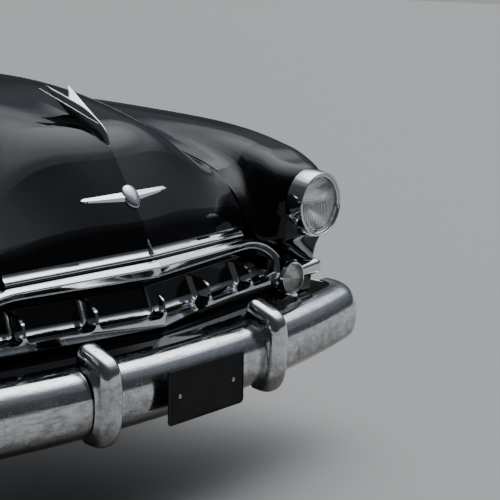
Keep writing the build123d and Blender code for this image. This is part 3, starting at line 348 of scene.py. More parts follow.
def bump(tree, height, strength, distance, shader):
    """Feeds a height through a Bump node into a shader's normal."""
    node = new_node(tree, "ShaderNodeBump", {"Strength": strength, "Distance": distance, "Height": height})
    fill(tree, shader, {"Normal": node.outputs["Normal"]})


def group_shell(name, inputs, outputs):
    """A shader node group with number sockets, and its input and output nodes."""
    tree = bpy.data.node_groups.new(name, "ShaderNodeTree")
    for label, value in inputs.items():
        socket = tree.interface.new_socket(name=label, in_out="INPUT", socket_type="NodeSocketFloat")
        socket.default_value = value
    for label in outputs:
        tree.interface.new_socket(name=label, in_out="OUTPUT", socket_type="NodeSocketFloat")
    return tree, tree.nodes.new("NodeGroupInput"), tree.nodes.new("NodeGroupOutput")


def group_node(tree, name, build, values):
    """Puts a node group into a material with its own values, and builds it when it isn't there yet."""
    node = tree.nodes.new("ShaderNodeGroup")
    node.node_tree = bpy.data.node_groups.get(name) or build(name)
    return fill(tree, node, values)


def wear_group(name):
    """Group: place on the object -> a cloudy wear mask, fine specks, and a ripple height."""
    scales = {"Cloud Scale": 6.0, "Speck Scale": 900.0, "Ripple Scale": 160.0}
    tree, start, end = group_shell(name, scales, ("Cloud", "Speck", "Ripple"))
    spot = where(tree, "Object")
    cloud = noise_node(tree, spot, start.outputs["Cloud Scale"], 5.0, 0.6)
    speck = noise_node(tree, spot, start.outputs["Speck Scale"], 2.0, 0.5)
    ripple = noise_node(tree, spot, start.outputs["Ripple Scale"], 2.0, 0.4)
    masks = {"Cloud": ramp_node(tree, cloud, 0.38, 0.68), "Speck": ramp_node(tree, speck, 0.62, 0.74)}
    fill(tree, end, {**masks, "Ripple": ripple})
    return tree


def wear_in(tree, cloud, speck, ripple):
    """Puts the wear group into a material with its own scales, as its three output sockets."""
    scales = {"Cloud Scale": cloud, "Speck Scale": speck, "Ripple Scale": ripple}
    node = group_node(tree, "Surface Wear", wear_group, scales)
    return node.outputs["Cloud"], node.outputs["Speck"], node.outputs["Ripple"]


def outside_group(name):
    """Group: 1 on a shell's outer face and 0 on its inner one, by the side its normal takes.

    The middle line is the nearest point (across, back, high) with across held between two limits on each
    side of the car and back no further forward than a limit. The normal's dot product with the way out
    from that line decides.
    """
    limits = {"Across From": 0.0, "Across To": 0.0, "Front": -1.0, "High": 0.3}
    tree, start, end = group_shell(name, limits, ("Outer",))
    x, y, z = parts(tree, "Object")
    face_x, face_y, face_z = parts(tree, "Normal")
    across = math_node(tree, "ABSOLUTE", x)
    nearest = math_node(tree, "MINIMUM", across, start.outputs["Across To"])
    nearest = highest(tree, nearest, start.outputs["Across From"])
    out_x = minus(tree, across, nearest)
    out_y = math_node(tree, "MINIMUM", minus(tree, y, start.outputs["Front"]), 0.0)
    out_z = minus(tree, z, start.outputs["High"])
    dot_x = times(tree, out_x, times(tree, face_x, math_node(tree, "SIGN", x)))
    dot = plus(tree, plus(tree, dot_x, times(tree, out_y, face_y)), times(tree, out_z, face_z))
    fill(tree, end, {"Outer": ramp_node(tree, dot, -0.002, 0.002)})
    return tree


def outer_face(tree, middle):
    """Puts the outer face group into a material with its own middle line, as its output socket."""
    values = dict(zip(("Across From", "Across To", "Front", "High"), middle))
    return group_node(tree, "Outer Face", outside_group, values).outputs["Outer"]


def pocket_group(name):
    """Group: 1 on the upper back wall of the grille's pockets, made black as paint and as painted shade deep
    in the pockets, and 0 on the plated rest.

    Depth behind the bar's face = (y - 0.158 + nose) cos(t) - |x| sin(t), with tan(t) = 0.16. The back wall
    leans as depth = 0.052 + 0.438 (rise - 0.024). The paint fades in from 31 to 46 mm over the bar's foot.
    """
    tree, start, end = group_shell(name, {"Edge": 0.004}, ("Painted",))
    x, y, z = parts(tree, "Object")
    sweep = math.atan(0.16)
    rise = minus(tree, z, 0.538 - RIDE)
    behind = times(tree, plus(tree, y, NOSE - 0.158), math.cos(sweep))
    depth = minus(tree, behind, times(tree, math_node(tree, "ABSOLUTE", x), math.sin(sweep)))
    wall = plus(tree, times(tree, minus(tree, rise, 0.024), 0.438), 0.052)
    near = ramp_node(tree, plus(tree, minus(tree, depth, wall), start.outputs["Edge"]), -0.003, 0.002)
    fill(tree, end, {"Painted": times(tree, near, ramp_node(tree, rise, 0.031, 0.046))})
    return tree


def body_paint(settings, name, middle):
    """Gloss black paint with faint ripples and a film of dust outside, and sealed, dull and rough inside.

    The middle line tells the outside from the inside, as the outer face group says.
    """
    material, tree, shader = new_material(name)
    dust_color, sealer, grime = (0.03, 0.03, 0.028), (0.035, 0.034, 0.033), (0.085, 0.075, 0.062)
    gloss, sealed_roughness, sealed_texture = 0.035, 0.72, 6.0
    cloud, speck, ripple = wear_in(tree, 5.0, 1400.0, 1.0 / settings.peel_size)
    outer = outer_face(tree, middle)
    lacquer = color_mix(tree, times(tree, speck, 0.5 * settings.dust), settings.body_color[:], dust_color)
    inside = color_mix(tree, cloud, sealer, grime)
    color = color_mix(tree, outer, inside, lacquer)
    film = times(tree, cloud, 0.06 * settings.dust)
    grain = times(tree, speck, 0.12 * settings.dust)
    rough = value_mix(tree, outer, sealed_roughness, plus(tree, plus(tree, film, grain), gloss))
    fill(tree, shader, {"Base Color": color, "Roughness": rough, "IOR": 1.36})
    height = times(tree, ripple, value_mix(tree, outer, sealed_texture, 1.0))
    bump(tree, height, settings.peel_height, 0.001, shader)
    return material


def streaks(tree):
    """Water marks drawn out along the piece: noise over squeezed object coordinates, as an output socket."""
    squeeze = new_node(tree, "ShaderNodeVectorMath", {0: where(tree, "Object"), 1: (20.0, 20.0, 130.0)})
    squeeze.operation = "MULTIPLY"
    return ramp_node(tree, noise_node(tree, squeeze.outputs["Vector"], 1.0, 10.0, 0.78), 0.47, 0.63)


def road_film_and_reflection(tree, cloud):
    """Road film and a painted reflection of dark ground, thickest where the face looks down and in cloudy
    patches, as an output socket.
    """
    downward = minus(tree, times(tree, cloud, 0.25), parts(tree, "Normal")[2])
    return ramp_node(tree, downward, 0.0, 0.38)


def bright_chrome(settings, name, spots=0.15, worn=False, middle=None, pockets=False):
    """Bright plating with faint haze and dried water spots.

    Worn plating also has pits, water streaks, and brown on its downward faces that is road film and a
    painted reflection of dark ground, and where a middle line is given it is dull inside the shell. With
    pockets, the upper back walls of the grille's pockets are made gloss black, as black paint and as painted
    shade deep in the pockets.
    """
    material, tree, shader = new_material(name)
    # The second colour is the brown of road film and of a painted reflection of dark ground.
    spot_color, film_and_reflection_color = (0.22, 0.20, 0.17), (0.075, 0.058, 0.047)
    cloud, speck, ripple = wear_in(tree, 9.0, 330.0 if worn else 620.0, 45.0)
    marks = times(tree, speck, spots)
    plated = 1.0
    if worn:
        fine, grit, _ = wear_in(tree, 26.0, 170.0, 180.0)
        pitted = times(tree, times(tree, fine, grit), 2.0 * settings.pitting)
        pitted = math_node(tree, "MINIMUM", pitted, 1.0)
        plated = minus(tree, 1.0, times(tree, pitted, 0.6))
        marks = highest(tree, highest(tree, marks, pitted), times(tree, streaks(tree), 0.7 * spots))
    color = color_mix(tree, marks, settings.color[:], spot_color)
    if worn:
        # Brown where the face looks down: road film and a painted reflection of dark ground.
        film = times(tree, road_film_and_reflection(tree, fine), settings.road_film_and_reflection)
        color = color_mix(tree, film, color, film_and_reflection_color)
        marks = highest(tree, marks, times(tree, film, 0.5))
    haze = times(tree, cloud, 0.03 + 0.10 * spots)
    rough = plus(tree, plus(tree, haze, times(tree, marks, 0.4)), 0.03)
    if worn and middle:
        outer = outer_face(tree, middle)
        bare = color_mix(tree, fine, (0.13, 0.127, 0.122), (0.085, 0.068, 0.055))
        color = color_mix(tree, outer, bare, color)
        rough = value_mix(tree, outer, 0.62, rough)
        plated = times(tree, plated, outer)
    if pockets:
        # The pockets' upper back walls go gloss black: black paint, and painted shade deep in the pockets.
        painted = group_node(tree, "Pocket Paint", pocket_group, {}).outputs["Painted"]
        color = color_mix(tree, painted, color, (0.004, 0.004, 0.005))
        rough = value_mix(tree, painted, rough, 0.12)
        plated = minus(tree, 1.0, painted)
    fill(tree, shader, {"Base Color": color, "Roughness": rough, "Metallic": plated})
    wave = minus(tree, ripple, times(tree, marks, 0.6))
    bump(tree, wave, 0.02 + 0.06 * spots, 0.002, shader)
    return material


def plain_finish(name, color, roughness, metallic=0.0, fade=0.5, relief=0.15, grain=650.0, ior=1.5):
    """A satin or matt finish whose colour and roughness drift, with relief of a grain in cells per metre."""
    material, tree, shader = new_material(name)
    cloud, _, ripple = wear_in(tree, 12.0, 500.0, grain)
    faded = tuple(min(1.0, part * (1 + fade) + 0.02 * fade) for part in color)
    fill(tree, shader, {"Base Color": color_mix(tree, cloud, color, faded), "Metallic": metallic, "IOR": ior,
                        "Roughness": plus(tree, times(tree, cloud, 0.18), roughness - 0.06)})
    bump(tree, ripple, relief, 0.0006, shader)
    return material


def lamp_glass(name, roughness=0.0, tint=(1.0, 1.0, 1.0)):
    """Clear or frosted lamp glass."""
    material, tree, shader = new_material(name)
    cloud, _, ripple = wear_in(tree, 14.0, 900.0, 300.0)
    fill(tree, shader, {"Base Color": (*tint, 1), "Transmission Weight": 1.0, "IOR": 1.5,
                        "Roughness": plus(tree, times(tree, cloud, 0.03), roughness)})
    bump(tree, ripple, 0.02, 0.0005, shader)
    return material


def dress(material, *starts):
    """Puts a material on every CAD node whose name begins with one of the given words."""
    for name, node in NODES.items():
        if name.startswith(starts):
            node.data.materials.clear()
            node.data.materials.append(material)


# The pieces' shapes, in millimetres across, behind the bumper's face and above the road.


def headlamp_glass(side, sign, material):
    """Headlamp glass: a shallow dome outside, and inside it small squares over upright flutes.

    Squares = cos(2 pi x / check) + cos(2 pi z / check) and flutes = cos(2 pi x / flute) fade out at the rim.
    """
    across, back, high = HEADLAMP
    x = sign * across
    radius, bulge, gap = 86.0, 14.0, 3.0
    settings = bpy.context.scene.frontend_lamps
    sphere = (radius**2 + bulge**2) / (2 * bulge)
    px, pz = disc(radius, 161, 141)
    sag = sphere - np.sqrt(sphere**2 - px**2 - pz**2) - bulge
    flute = settings.flute_pitch / MM
    check = settings.check_pitch / MM
    fade = np.clip((radius - 6 - np.hypot(px, pz)) / 4, 0, 1)
    upper = np.clip((pz - 4) / 3, 0, 1)
    squares = 0.3 * (np.cos(2 * math.pi * px / check) + np.cos(2 * math.pi * pz / check))
    flutes = np.cos(2 * math.pi * px / flute)
    relief = settings.flute_depth / MM * fade * (upper * squares + (1 - upper) * flutes)
    front = place(x + px, back + sag, high + pz)
    rear = place(x + px, back + sag + gap + relief, high + pz)
    rim = np.stack([border(front), border(rear)])
    shells = [cells(front), cells(rear), cells(rim, closed=True)]
    make_piece(f"headlamp_glass_{side}", shells, material, nodes=(f"headlamp_lens_{side}",),
               crease=60.0)


def headlamp_reflector(side, sign, material):
    """Reflector: a thin dish, 78.6 - r*r/106 deep, with the bulb's shield on a stem in its middle."""
    across, back, high = HEADLAMP
    x = sign * across
    rim, hole, deep, spread, thick, shield_back = 83.2, 7.0, 78.6, 106.0, 0.8, 28.0
    radius = np.linspace(rim, hole, 48)
    dish = np.stack([deep - radius**2 / spread, radius], axis=1)
    behind = dish[::-1] + (thick, 0.0)
    lip = [[13.0, 84.2], [14.2, 84.2]]
    loop = np.concatenate([lip[:1], dish, behind, lip[1:], lip[:1]]) + (back, 0.0)
    shield = np.array([[0.0, 0.0], [1.0, 5.5], [3.5, 8.5], [7.0, 9.6], [12.0, 9.6], [12.5, 8.6], [8.0, 7.6],
                       [8.0, 2.2], [50.0, 2.2], [50.0, 0.0]]) + (back + shield_back, 0.0)
    shells = [turned(loop, x, high, 128), turned(shield, x, high, 48)]
    make_piece(f"headlamp_reflector_{side}", shells, material, crease=40.0)


def side_lamp_glass(side, sign, material):
    """Side lamp glass: a dome, 9 (1 - r*r/R*R) high, with faint rings outside and upright ribs inside."""
    across, back, high = SIDE_LAMP
    x = sign * across
    radius, bulge, wall, depth, ring_pitch, rib_pitch = 47.0, 9.0, 3.6, 13.5, 7.0, 4.6
    px, pz = disc(radius, 91, 91)
    far = np.hypot(px, pz)
    rings = 0.22 * np.cos(2 * math.pi * far / ring_pitch) * np.clip((radius - far) / 5, 0, 1)
    front = place(x + px, back - bulge * (1 - (far / radius) ** 2) + rings, high + pz)
    ix, iz = disc(radius - 4, 91, 91)
    inner_far = np.hypot(ix, iz)
    ribs = 0.5 * np.cos(2 * math.pi * ix / rib_pitch) * np.clip((radius - 6 - inner_far) / 3, 0, 1)
    rear = place(x + ix, back - bulge * (1 - (inner_far / radius) ** 2) + wall + ribs, high + iz)
    skirt = [border(front), border(place(x + px, back + depth, high + pz)),
             border(place(x + ix, back + depth, high + iz)), border(rear)]
    shells = [cells(front), cells(rear), cells(np.stack(skirt), closed=True)]
    make_piece(f"side_lamp_glass_{side}", shells, material, nodes=(f"side_lamp_lens_{side}",),
               crease=60.0)


def side_lamp_bulb(side, sign, material):
    """Side lamp reflector: a shallow dish on the shell's floor, with its bulb standing in the middle."""
    across, back, high = SIDE_LAMP
    x = sign * across
    rim, hole, floor, deep, thick = 38.5, 8.0, 26.0, 9.0, 0.7
    bulb_at, bulb_radius, cap_radius, cap_from, cap_to = 10.0, 6.5, 5.5, 16.5, 26.5
    radius = np.linspace(rim, hole, 16)
    dish = np.stack([floor - (radius / rim) ** 2 * deep, radius], axis=1)
    dish = np.concatenate([dish, dish[::-1] + (thick, 0.0), dish[:1]]) + (back, 0.0)
    turn = np.linspace(0, math.pi * 0.82, 16)
    bulb = np.stack([back + bulb_at - bulb_radius * np.cos(turn), bulb_radius * np.sin(turn)], axis=1)
    cap = [[back + cap_from, cap_radius], [back + cap_to, cap_radius], [back + cap_to, 0.0]]
    shells = [turned(dish, x, high, 64), turned(np.concatenate([bulb, cap]), x, high, 32)]
    make_piece(f"side_lamp_bulb_{side}", shells, material, crease=40.0)


def bumper_shells():
    """The bumper: a section, one smooth line, carried round a long arc that ends in a bend at each corner.

    At each station, point = plan line - depth * outward normal, and the inner wall lies one wall inside.
    Beyond the corners only the outer wall, up to the tail's depth, runs on.
    """
    arc, bend, half_width, set_back, wall, tail_depth, tail = 3200.0, 175.0, 976.0, 26.0, 5.0, 19.0, 150.0
    line = ((62, 312), (38, 327), (20, 341), (9, 356), (4, 376), (1.5, 400), (1.5, 424), (5, 446), (13, 467),
            (26, 487), (44, 498.5), (66, 502.5), (92, 501))
    count = 73
    outer = smooth_line(np.arange(13.0), line, np.linspace(0, 12, count))
    way = np.gradient(outer, axis=0)
    way /= np.linalg.norm(way, axis=1, keepdims=True)
    inner = outer + wall * np.stack([way[:, 1], -way[:, 0]], axis=1)
    ring = np.concatenate([outer, inner[::-1]])
    last = math.asin((half_width - bend) / (arc - bend))
    corner = np.linspace(last, QUARTER, 25)[1:]
    turn = np.concatenate([-corner[::-1], np.linspace(-last, last, 91), corner])[:, None]
    on_arc = np.abs(turn) <= last
    side = np.where(on_arc, 0.0, np.sign(turn) * (arc - bend) * math.sin(last))
    middle = arc + set_back - np.where(on_arc, 0.0, (arc - bend) * math.cos(last))
    reach = np.where(on_arc, arc, bend) - ring[:, 0]
    rows = place(side + reach * np.sin(turn), middle - reach * np.cos(turn), ring[:, 1])
    shells = [cells(rows, closed=True)]
    kept = np.flatnonzero(outer[:, 0] <= tail_depth)
    for edge in (rows[0], rows[-1]):
        front, rear = edge[:count], edge[count:][::-1]
        shells.append(cells(np.stack([front[: kept[0] + 1], rear[: kept[0] + 1]])))
        shells.append(cells(np.stack([front[kept[-1] :], rear[kept[-1] :]])))
        loop = np.concatenate([front[kept], rear[kept][::-1]])
        far = loop + (0.0, tail * MM, 0.0)
        shells.append(cells(np.stack([loop, far]), closed=True))
        shells.append(cells(np.stack([far[: len(kept)], far[len(kept) :][::-1]])))
    return shells


def overrider_shell(x):
    """An overrider: between the bumper's section (s = 0) and its own outline (s = 1), with half its width
    37 (1 - s**3)**(1/3), and a foot that flares by 5 (1 - s)**5 where it lies on the bumper."""
    half_width, flare = 37.0, 5.0
    own = ((96, 300), (70, 296), (46, 299), (27, 318), (15, 352), (10, 395), (8.5, 440), (10, 482),
           (17, 514), (34, 536), (62, 549), (92, 560), (114, 566), (127, 556), (131, 530), (131, 508))
    seat = ((97, 318), (84, 328), (70, 338), (58, 349), (50, 368), (46, 395), (45.5, 425), (47, 448),
            (52, 464), (58, 476), (66, 487), (78, 497), (90, 501.5), (104, 503.5), (116, 503.5), (128, 503))
    rows = np.linspace(0, 15, 110)
    outline = smooth_line(np.arange(16.0), own, rows)[:, None]
    bed = smooth_line(np.arange(16.0), seat, rows)[:, None]
    turn = np.linspace(-QUARTER, QUARTER, 47)
    share = np.abs(np.cos(turn)) ** (2 / 3.0)
    wide = np.sign(np.sin(turn)) * np.abs(np.sin(turn)) ** (2 / 3.0)
    across = wide * half_width + np.sign(wide) * flare * (1 - share) ** 5
    point = bed + (outline - bed) * share[None, :, None]
    return poles(place(x + across, point[..., 0], point[..., 1]))


def spear_shell(side, sign, blunt):
    """A spear behind the side lamp: its front bulges as cos(a)**(2/blunt) at a height of
    26 sin(a)**(2/blunt), both draw in to a rounded tip, and its back follows the wing."""
    root, shoulder, tip_length, middle, half_height = 706.0, 820.0, 32.0, 562.0, 26.0
    nose, edge, deepest = 248.0, 302.0, 306.0
    ends = np.sin(np.linspace(0, QUARTER, 20))[1:]
    x = np.concatenate([np.linspace(root, shoulder, 24), shoulder + tip_length * ends])[:, None]
    turn = np.linspace(-QUARTER, QUARTER, 33)[None, :]
    tip = np.sqrt(np.clip(1 - (np.clip(x - shoulder, 0, tip_length) / (tip_length + 0.2)) ** 2, 0.0, 1))
    high = middle + half_height * tip * np.sign(np.sin(turn)) * np.abs(np.sin(turn)) ** (2 / blunt)
    rear = np.minimum(front_of(f"wing_{side}", sign * x, high) - 0.3, deepest)
    bulge = np.cos(turn) ** (2 / blunt) * (0.55 + 0.45 * tip)
    front = np.minimum(edge - (edge - nose - (x - root) * 0.147) * bulge, rear - 0.2)
    near, far = place(sign * x, front, high), place(sign * x, rear, high)
    return poles(np.concatenate([near, far[:, ::-1]], axis=1))


def badge_shells():
    """The badge: a ridged bar, proud of the bonnet by 1.2 + 6.3 (1 - |v|), and a domed boss."""
    half_length, boss, seat = 165.0, 30.0, 0.2
    x = np.linspace(-half_length, half_length, 89)[:, None]
    v = np.linspace(-1, 1, 9)[None, :]
    out = np.abs(x) / half_length
    tall = (13 - 8 * out) * np.clip((half_length + 0.4 - np.abs(x)) / 9, 0, 1) ** 0.5
    high = BADGE_HIGH + 2 * out + tall * v
    skin = front_of("bonnet_skin", x, high)
    front = place(x, skin - 1.2 - 6.3 * (1 - np.abs(v)), high)
    rear = place(x, skin - seat, high)
    bar = poles(np.concatenate([front, rear[:, ::-1]], axis=1))
    px, pz = disc(boss, 41, 41)
    skin = front_of("bonnet_skin", px, BADGE_HIGH + pz)
    dome = 3.0 + 8.5 * np.sqrt(np.clip(1 - (np.hypot(px, pz) / boss) ** 2.4, 0, 1))
    front = place(px, skin - dome, BADGE_HIGH + pz)
    rear = place(px, skin - seat, BADGE_HIGH + pz)
    rim = cells(np.stack([border(front), border(rear)]), closed=True)
    return [bar, cells(front), cells(rear), rim]


def lip_peak():
    """The lip's small pointed peak: its half width is 2 + 9 exp(-rise/9), and it leans with the bonnet."""
    tall, foot = 40.0, 738.0
    rise = np.linspace(0, tall, 24)[:, None]
    turn = np.linspace(-QUARTER, QUARTER, 15)[None, :]
    wide = (2.0 + 9.0 * np.exp(-rise / 9)) * np.clip((tall + 1 - rise) / 6, 0.1, 1)
    proud = 19.0 - 15.0 * (rise / tall) ** 1.3
    skin = front_of("bonnet_skin", 0.0, np.linspace(745, 780, 24))[:, None]
    back = skin - 0.4 - proud * np.cos(turn) ** 0.8
    return poles(place(wide * np.sin(turn), back, foot + rise))


def dart_body(width):
    """The ornament's body: an ellipse carried along a smooth centre line, with a width of
    0.35 + 0.65 sin(pi s**0.8)**0.6 of the full one, widest below its middle."""
    s = np.linspace(0.0, 1.0, 90)
    stations = (0.0, 0.14, 0.40, 0.68, 1.0)
    top = smooth_line(stations, ((379, 1026), (392, 1062), (462, 1114), (545, 1144), (645, 1174)), s)
    low = smooth_line(stations, ((382, 1010), (420, 1030), (500, 1072), (566, 1112), (644, 1171)), s)
    turn = np.linspace(0, 2 * math.pi, 40, endpoint=False)[None, :]
    middle, half = (top + low) / 2, (top - low) / 2
    wide = (0.35 + 0.65 * np.sin(math.pi * np.clip(s, 0, 0.999) ** 0.8) ** 0.6)[:, None] * width / 2
    wide = wide * np.clip((1.02 - s[:, None]) / 0.12, 0.08, 1)
    back = middle[:, :1] + half[:, :1] * np.cos(turn)
    high = middle[:, 1:] + half[:, 1:] * np.cos(turn)
    across = wide * np.sin(turn) * (1 - 0.18 * np.cos(turn))
    return poles(place(across, back, high))


def dart_fin(sign, grooves):
    """One swept fin: from root to tip the chord c runs from leading to trailing edge, and its half thickness
    is 2.6 sqrt(4 c (1 - c)) less grooves of cos(2 pi grooves c), thinning to the tip."""
    run = np.linspace(0, 1, 48)
    lead = smooth_line((0, 0.35, 0.7, 1), ((5, -14), (22, 56), (40, 128), (57, 196)), run)
    trail = smooth_line((0, 0.35, 0.7, 1), ((5, 138), (21, 152), (37, 172), (54, 200)), run)
    loop = np.linspace(0, 2 * math.pi, 56, endpoint=False)[None, :]
    half_thick, groove_depth, root, rise = 2.6, 0.5, 5, 0.42
    root_back, root_high, level, slope = 430, 1086, 0.945, 0.327
    chord = (1 - np.cos(loop)) / 2
    taper = (1 - 0.75 * run)[:, None]
    cut = groove_depth * np.cos(2 * math.pi * grooves * chord) * np.sin(loop) ** 2
    thick = np.sin(loop) * taper * (half_thick - cut)
    across = lead[:, :1] + (trail[:, :1] - lead[:, :1]) * chord
    along = lead[:, 1:] + (trail[:, 1:] - lead[:, 1:]) * chord
    lift = thick + rise * (across - root)
    back = root_back + level * along - slope * lift
    high = root_high + slope * along + level * lift
    return poles(place(sign * across, back, high))


def plate_shell():
    """The number plate: rounded rectangles, drawn in by insets and set back by depths, run from its back
    over the rolled edge to the blank face."""
    half_width, half_height, corner_radius, thick, per_corner = 152.5, 76.0, 14.0, 3.0, 9
    insets = (0.0, 0.0, 0.6, 1.6, 2.6, 3.6, 4.6, 6.0, 7.0, 76.0)
    depths = (thick, 1.4, 0.5, 0.0, 0.0, 0.5, 1.5, 1.8, 1.8, 1.8)
    corner = np.linspace(0, QUARTER, per_corner)
    rings = [place(np.zeros(4 * per_corner), thick, PLATE_HIGH)]
    for inset, depth in zip(insets, depths):
        radius = max(corner_radius - inset, 0.5)
        arm = np.array([half_width - inset - radius, max(half_height - inset - radius, 0.0)])
        quarter = np.stack([np.cos(corner), np.sin(corner)], axis=1) * radius + arm
        back_way = quarter[::-1]
        loop = np.concatenate([quarter, back_way * (-1, 1), -quarter, back_way * (1, -1)])
        rings.append(place(loop[:, 0], depth, PLATE_HIGH + loop[:, 1]))
    rings.append(place(loop[:, 0], depths[-1], PLATE_HIGH))
    return cells(np.stack(rings), closed=True)


def radiator_shells(tubes, fin_pitch):
    """The radiator: upright tubes between two side channels, and fins folded to and fro between tubes."""
    low, top, middle, deep, half_width = 514.2, 833.8, 464.3, 60.0, 272.0
    tall, centre = top - low, (low + top) / 2
    tube_width, channel_width, channel_at, gap = 2.4, 6.0, 277.0, 1.25
    across = np.linspace(-half_width, half_width, tubes)
    places = place(across, middle, RIDE / MM)
    tube = box_shell(0.0, NOSE / MM, centre, (tube_width, deep, tall))
    size = (channel_width, deep + 2, tall)
    channels = [box_shell(x, middle, centre, size) for x in (-channel_at, channel_at)]
    steps = np.arange(2 * int(round(tall / fin_pitch)) + 1)
    rise = np.linspace(low + 1, top - 1, len(steps))[:, None]
    half_pitch = (across[1] - across[0]) / 2
    reach = half_pitch + np.where(steps % 2 == 0, -1.0, 1.0)[:, None] * (half_pitch - gap)
    section = np.array([(-0.12, -0.5), (0.12, -0.5), (0.12, 0.5), (-0.12, 0.5)])
    fin = place(reach, NOSE / MM + section[:, 1] * (deep - 6), rise + section[:, 0])
    return [repeated(tube, places), *channels], [repeated(cells(fin, closed=True), places[:-1])]


def hex_bolt(flats, axis, sign):
    """A hexagon head with a chamfered top on a round washer, about an axis (0 across, 1 back, 2 high).

    Each row holds a rise and a radius, as shares of the width across the flats, and 1 on the hexagon.
    """
    turn = np.linspace(0, 2 * math.pi, 12, endpoint=False)[None, :]
    hexagon = 1 / np.cos((turn + math.pi / 6) % (math.pi / 3) - math.pi / 6)
    rows = np.array([(0.0, 0.0, 0), (0.0, 0.95, 0), (0.10, 1.0, 0), (0.14, 0.94, 0), (0.14, 0.5, 1),
                     (0.52, 0.5, 1), (0.60, 0.44, 0), (0.60, 0.0, 0)])[:, :, None]
    rise = flats * rows[:, 0]
    radius = flats * rows[:, 1] * np.where(rows[:, 2] == 1, hexagon, 1.0)
    one, two = radius * np.cos(turn), radius * np.sin(turn)
    points = [one, two]
    points.insert(axis, sign * rise)
    return cells(np.stack(np.broadcast_arrays(*points), axis=-1), closed=True)


def edge_high(back):
    """Height of the bonnet's side edge at a distance behind the bumper's face, in millimetres."""
    return np.interp(back, (404, 800, 1540), (890, 1003, 1055))


# The steps, as operators.


class FRONTEND_OT_paint(bpy.types.Operator):
    """Paints the bonnet, the wings and the grille's lining"""
    bl_idname = "frontend.paint"
    bl_label = "Body Paint"

    def execute(self, context):
        settings = context.scene.frontend_paint
        wing_middle, bonnet_middle = (0.74, 0.74, -1.1, 0.25), (0.0, 0.0, -0.95, 0.35)
        panel_middle = (0.0, 0.70, -0.9, 0.0)
        dress(body_paint(settings, "wing_paint", wing_middle), "wing_left", "wing_right")
        dress(body_paint(settings, "bonnet_paint", bonnet_middle), "bonnet_skin")
        dress(body_paint(settings, "panel_paint", panel_middle), "grille_panel", "gravel_pan")
        underside = plain_finish("underside_paint", (0.060, 0.058, 0.055), 0.5)
        dress(underside, "bonnet_frame", "wing_apron", "grille_stay", "radiator_support")
        return {"FINISHED"}


class FRONTEND_OT_chrome(bpy.types.Operator):
    """Plates the grille and the lamps' rims, and makes the bumper and its overriders"""
    bl_idname = "frontend.chrome"
    bl_label = "Chrome"

    def execute(self, context):
        settings = context.scene.frontend_chrome
        dress(bright_chrome(settings, "bright_chrome"), "bonnet_lip", "grille_top_bar", "headlamp_ring",
              "headlamp_bezel", "side_lamp_shell", "side_lamp_shroud")
        dress(bright_chrome(settings, "pocket_chrome", pockets=True), "grille_tooth_bar")
        middle = (0.0, 0.86, -1.25, 0.055)
        bumper = bright_chrome(settings, "bumper_chrome", settings.spots, worn=True, middle=middle)
        make_piece("bumper_shell", bumper_shells(), bumper, nodes=("bumper_bar",), crease=40.0)
        horns = bright_chrome(settings, "overrider_chrome", settings.spots * 0.6, worn=True)
        for side, sign in SIDES:
            make_piece(f"overrider_horn_{side}", [overrider_shell(335.0 * sign)], horns,
                       nodes=(f"overrider_{side}",), crease=50.0)
        return {"FINISHED"}


class FRONTEND_OT_trim(bpy.types.Operator):
    """Makes the bonnet's ornament, badge and peak, and the spears"""
    bl_idname = "frontend.trim"
    bl_label = "Bonnet Trim"

    def execute(self, context):
        settings = context.scene.frontend_trim
        plating = bright_chrome(context.scene.frontend_chrome, "trim_chrome", spots=0.1)
        shells = [dart_body(settings.dart_width / MM)]
        shells += [dart_fin(sign, settings.fin_grooves) for sign in (1, -1)]
        make_piece("bonnet_dart", shells, plating, "bonnet", ("bonnet_ornament",), 50.0)
        make_piece("badge_bar", badge_shells(), plating, "bonnet", ("bonnet_badge",), 25.0)
        make_piece("lip_peak", [lip_peak()], plating, "bonnet", crease=50.0)
        for side, sign in SIDES:
            shell = spear_shell(side, sign, settings.spear_round)
            make_piece(f"spear_bar_{side}", [shell], plating, nodes=(f"side_lamp_spear_{side}",),
                       crease=50.0)
        return {"FINISHED"}


class FRONTEND_OT_lamps(bpy.types.Operator):
    """Glazes the headlamps and the side lamps, and sets their reflectors and bulbs"""
    bl_idname = "frontend.lamps"
    bl_label = "Lamps"

    def execute(self, context):
        settings = context.scene.frontend_lamps
        silver = plain_finish("lamp_reflector", (0.90, 0.91, 0.92), 0.10, 1.0, fade=0.05, relief=0.01)
        clear = lamp_glass("headlamp_glass")
        frosted = lamp_glass("side_lamp_glass", settings.frost, (0.97, 0.96, 0.93))
        pieces = ((headlamp_glass, clear), (headlamp_reflector, silver), (side_lamp_glass, frosted),
                  (side_lamp_bulb, silver))
        for make, material in pieces:
            for side, sign in SIDES:
                make(side, sign, material)
        dress(plain_finish("bowl_steel", (0.30, 0.30, 0.29), 0.4, 1.0), "headlamp_bowl")
        return {"FINISHED"}


class FRONTEND_OT_plate(bpy.types.Operator):
    """Makes the blank number plate with its rolled edge and two fixing screws"""
    bl_idname = "frontend.plate"
    bl_label = "Number Plate"

    def execute(self, context):
        paint = plain_finish("plate_paint", (0.004, 0.004, 0.005), 0.3, relief=0.05, ior=1.24)
        make_piece("plate_face", [plate_shell()], paint, nodes=("number_plate",))
        screw = ((1.8, 0.0), (1.8, 6.2), (-0.2, 6.0), (-1.8, 4.6), (-2.6, 2.4), (-2.8, 0.0))
        heads = [turned(screw, x, PLATE_HIGH, 24) for x in (-108.0, 108.0)]
        steel = plain_finish("screw_steel", (0.42, 0.41, 0.38), 0.32, 1.0)
        make_piece("plate_screws", heads, steel)
        return {"FINISHED"}


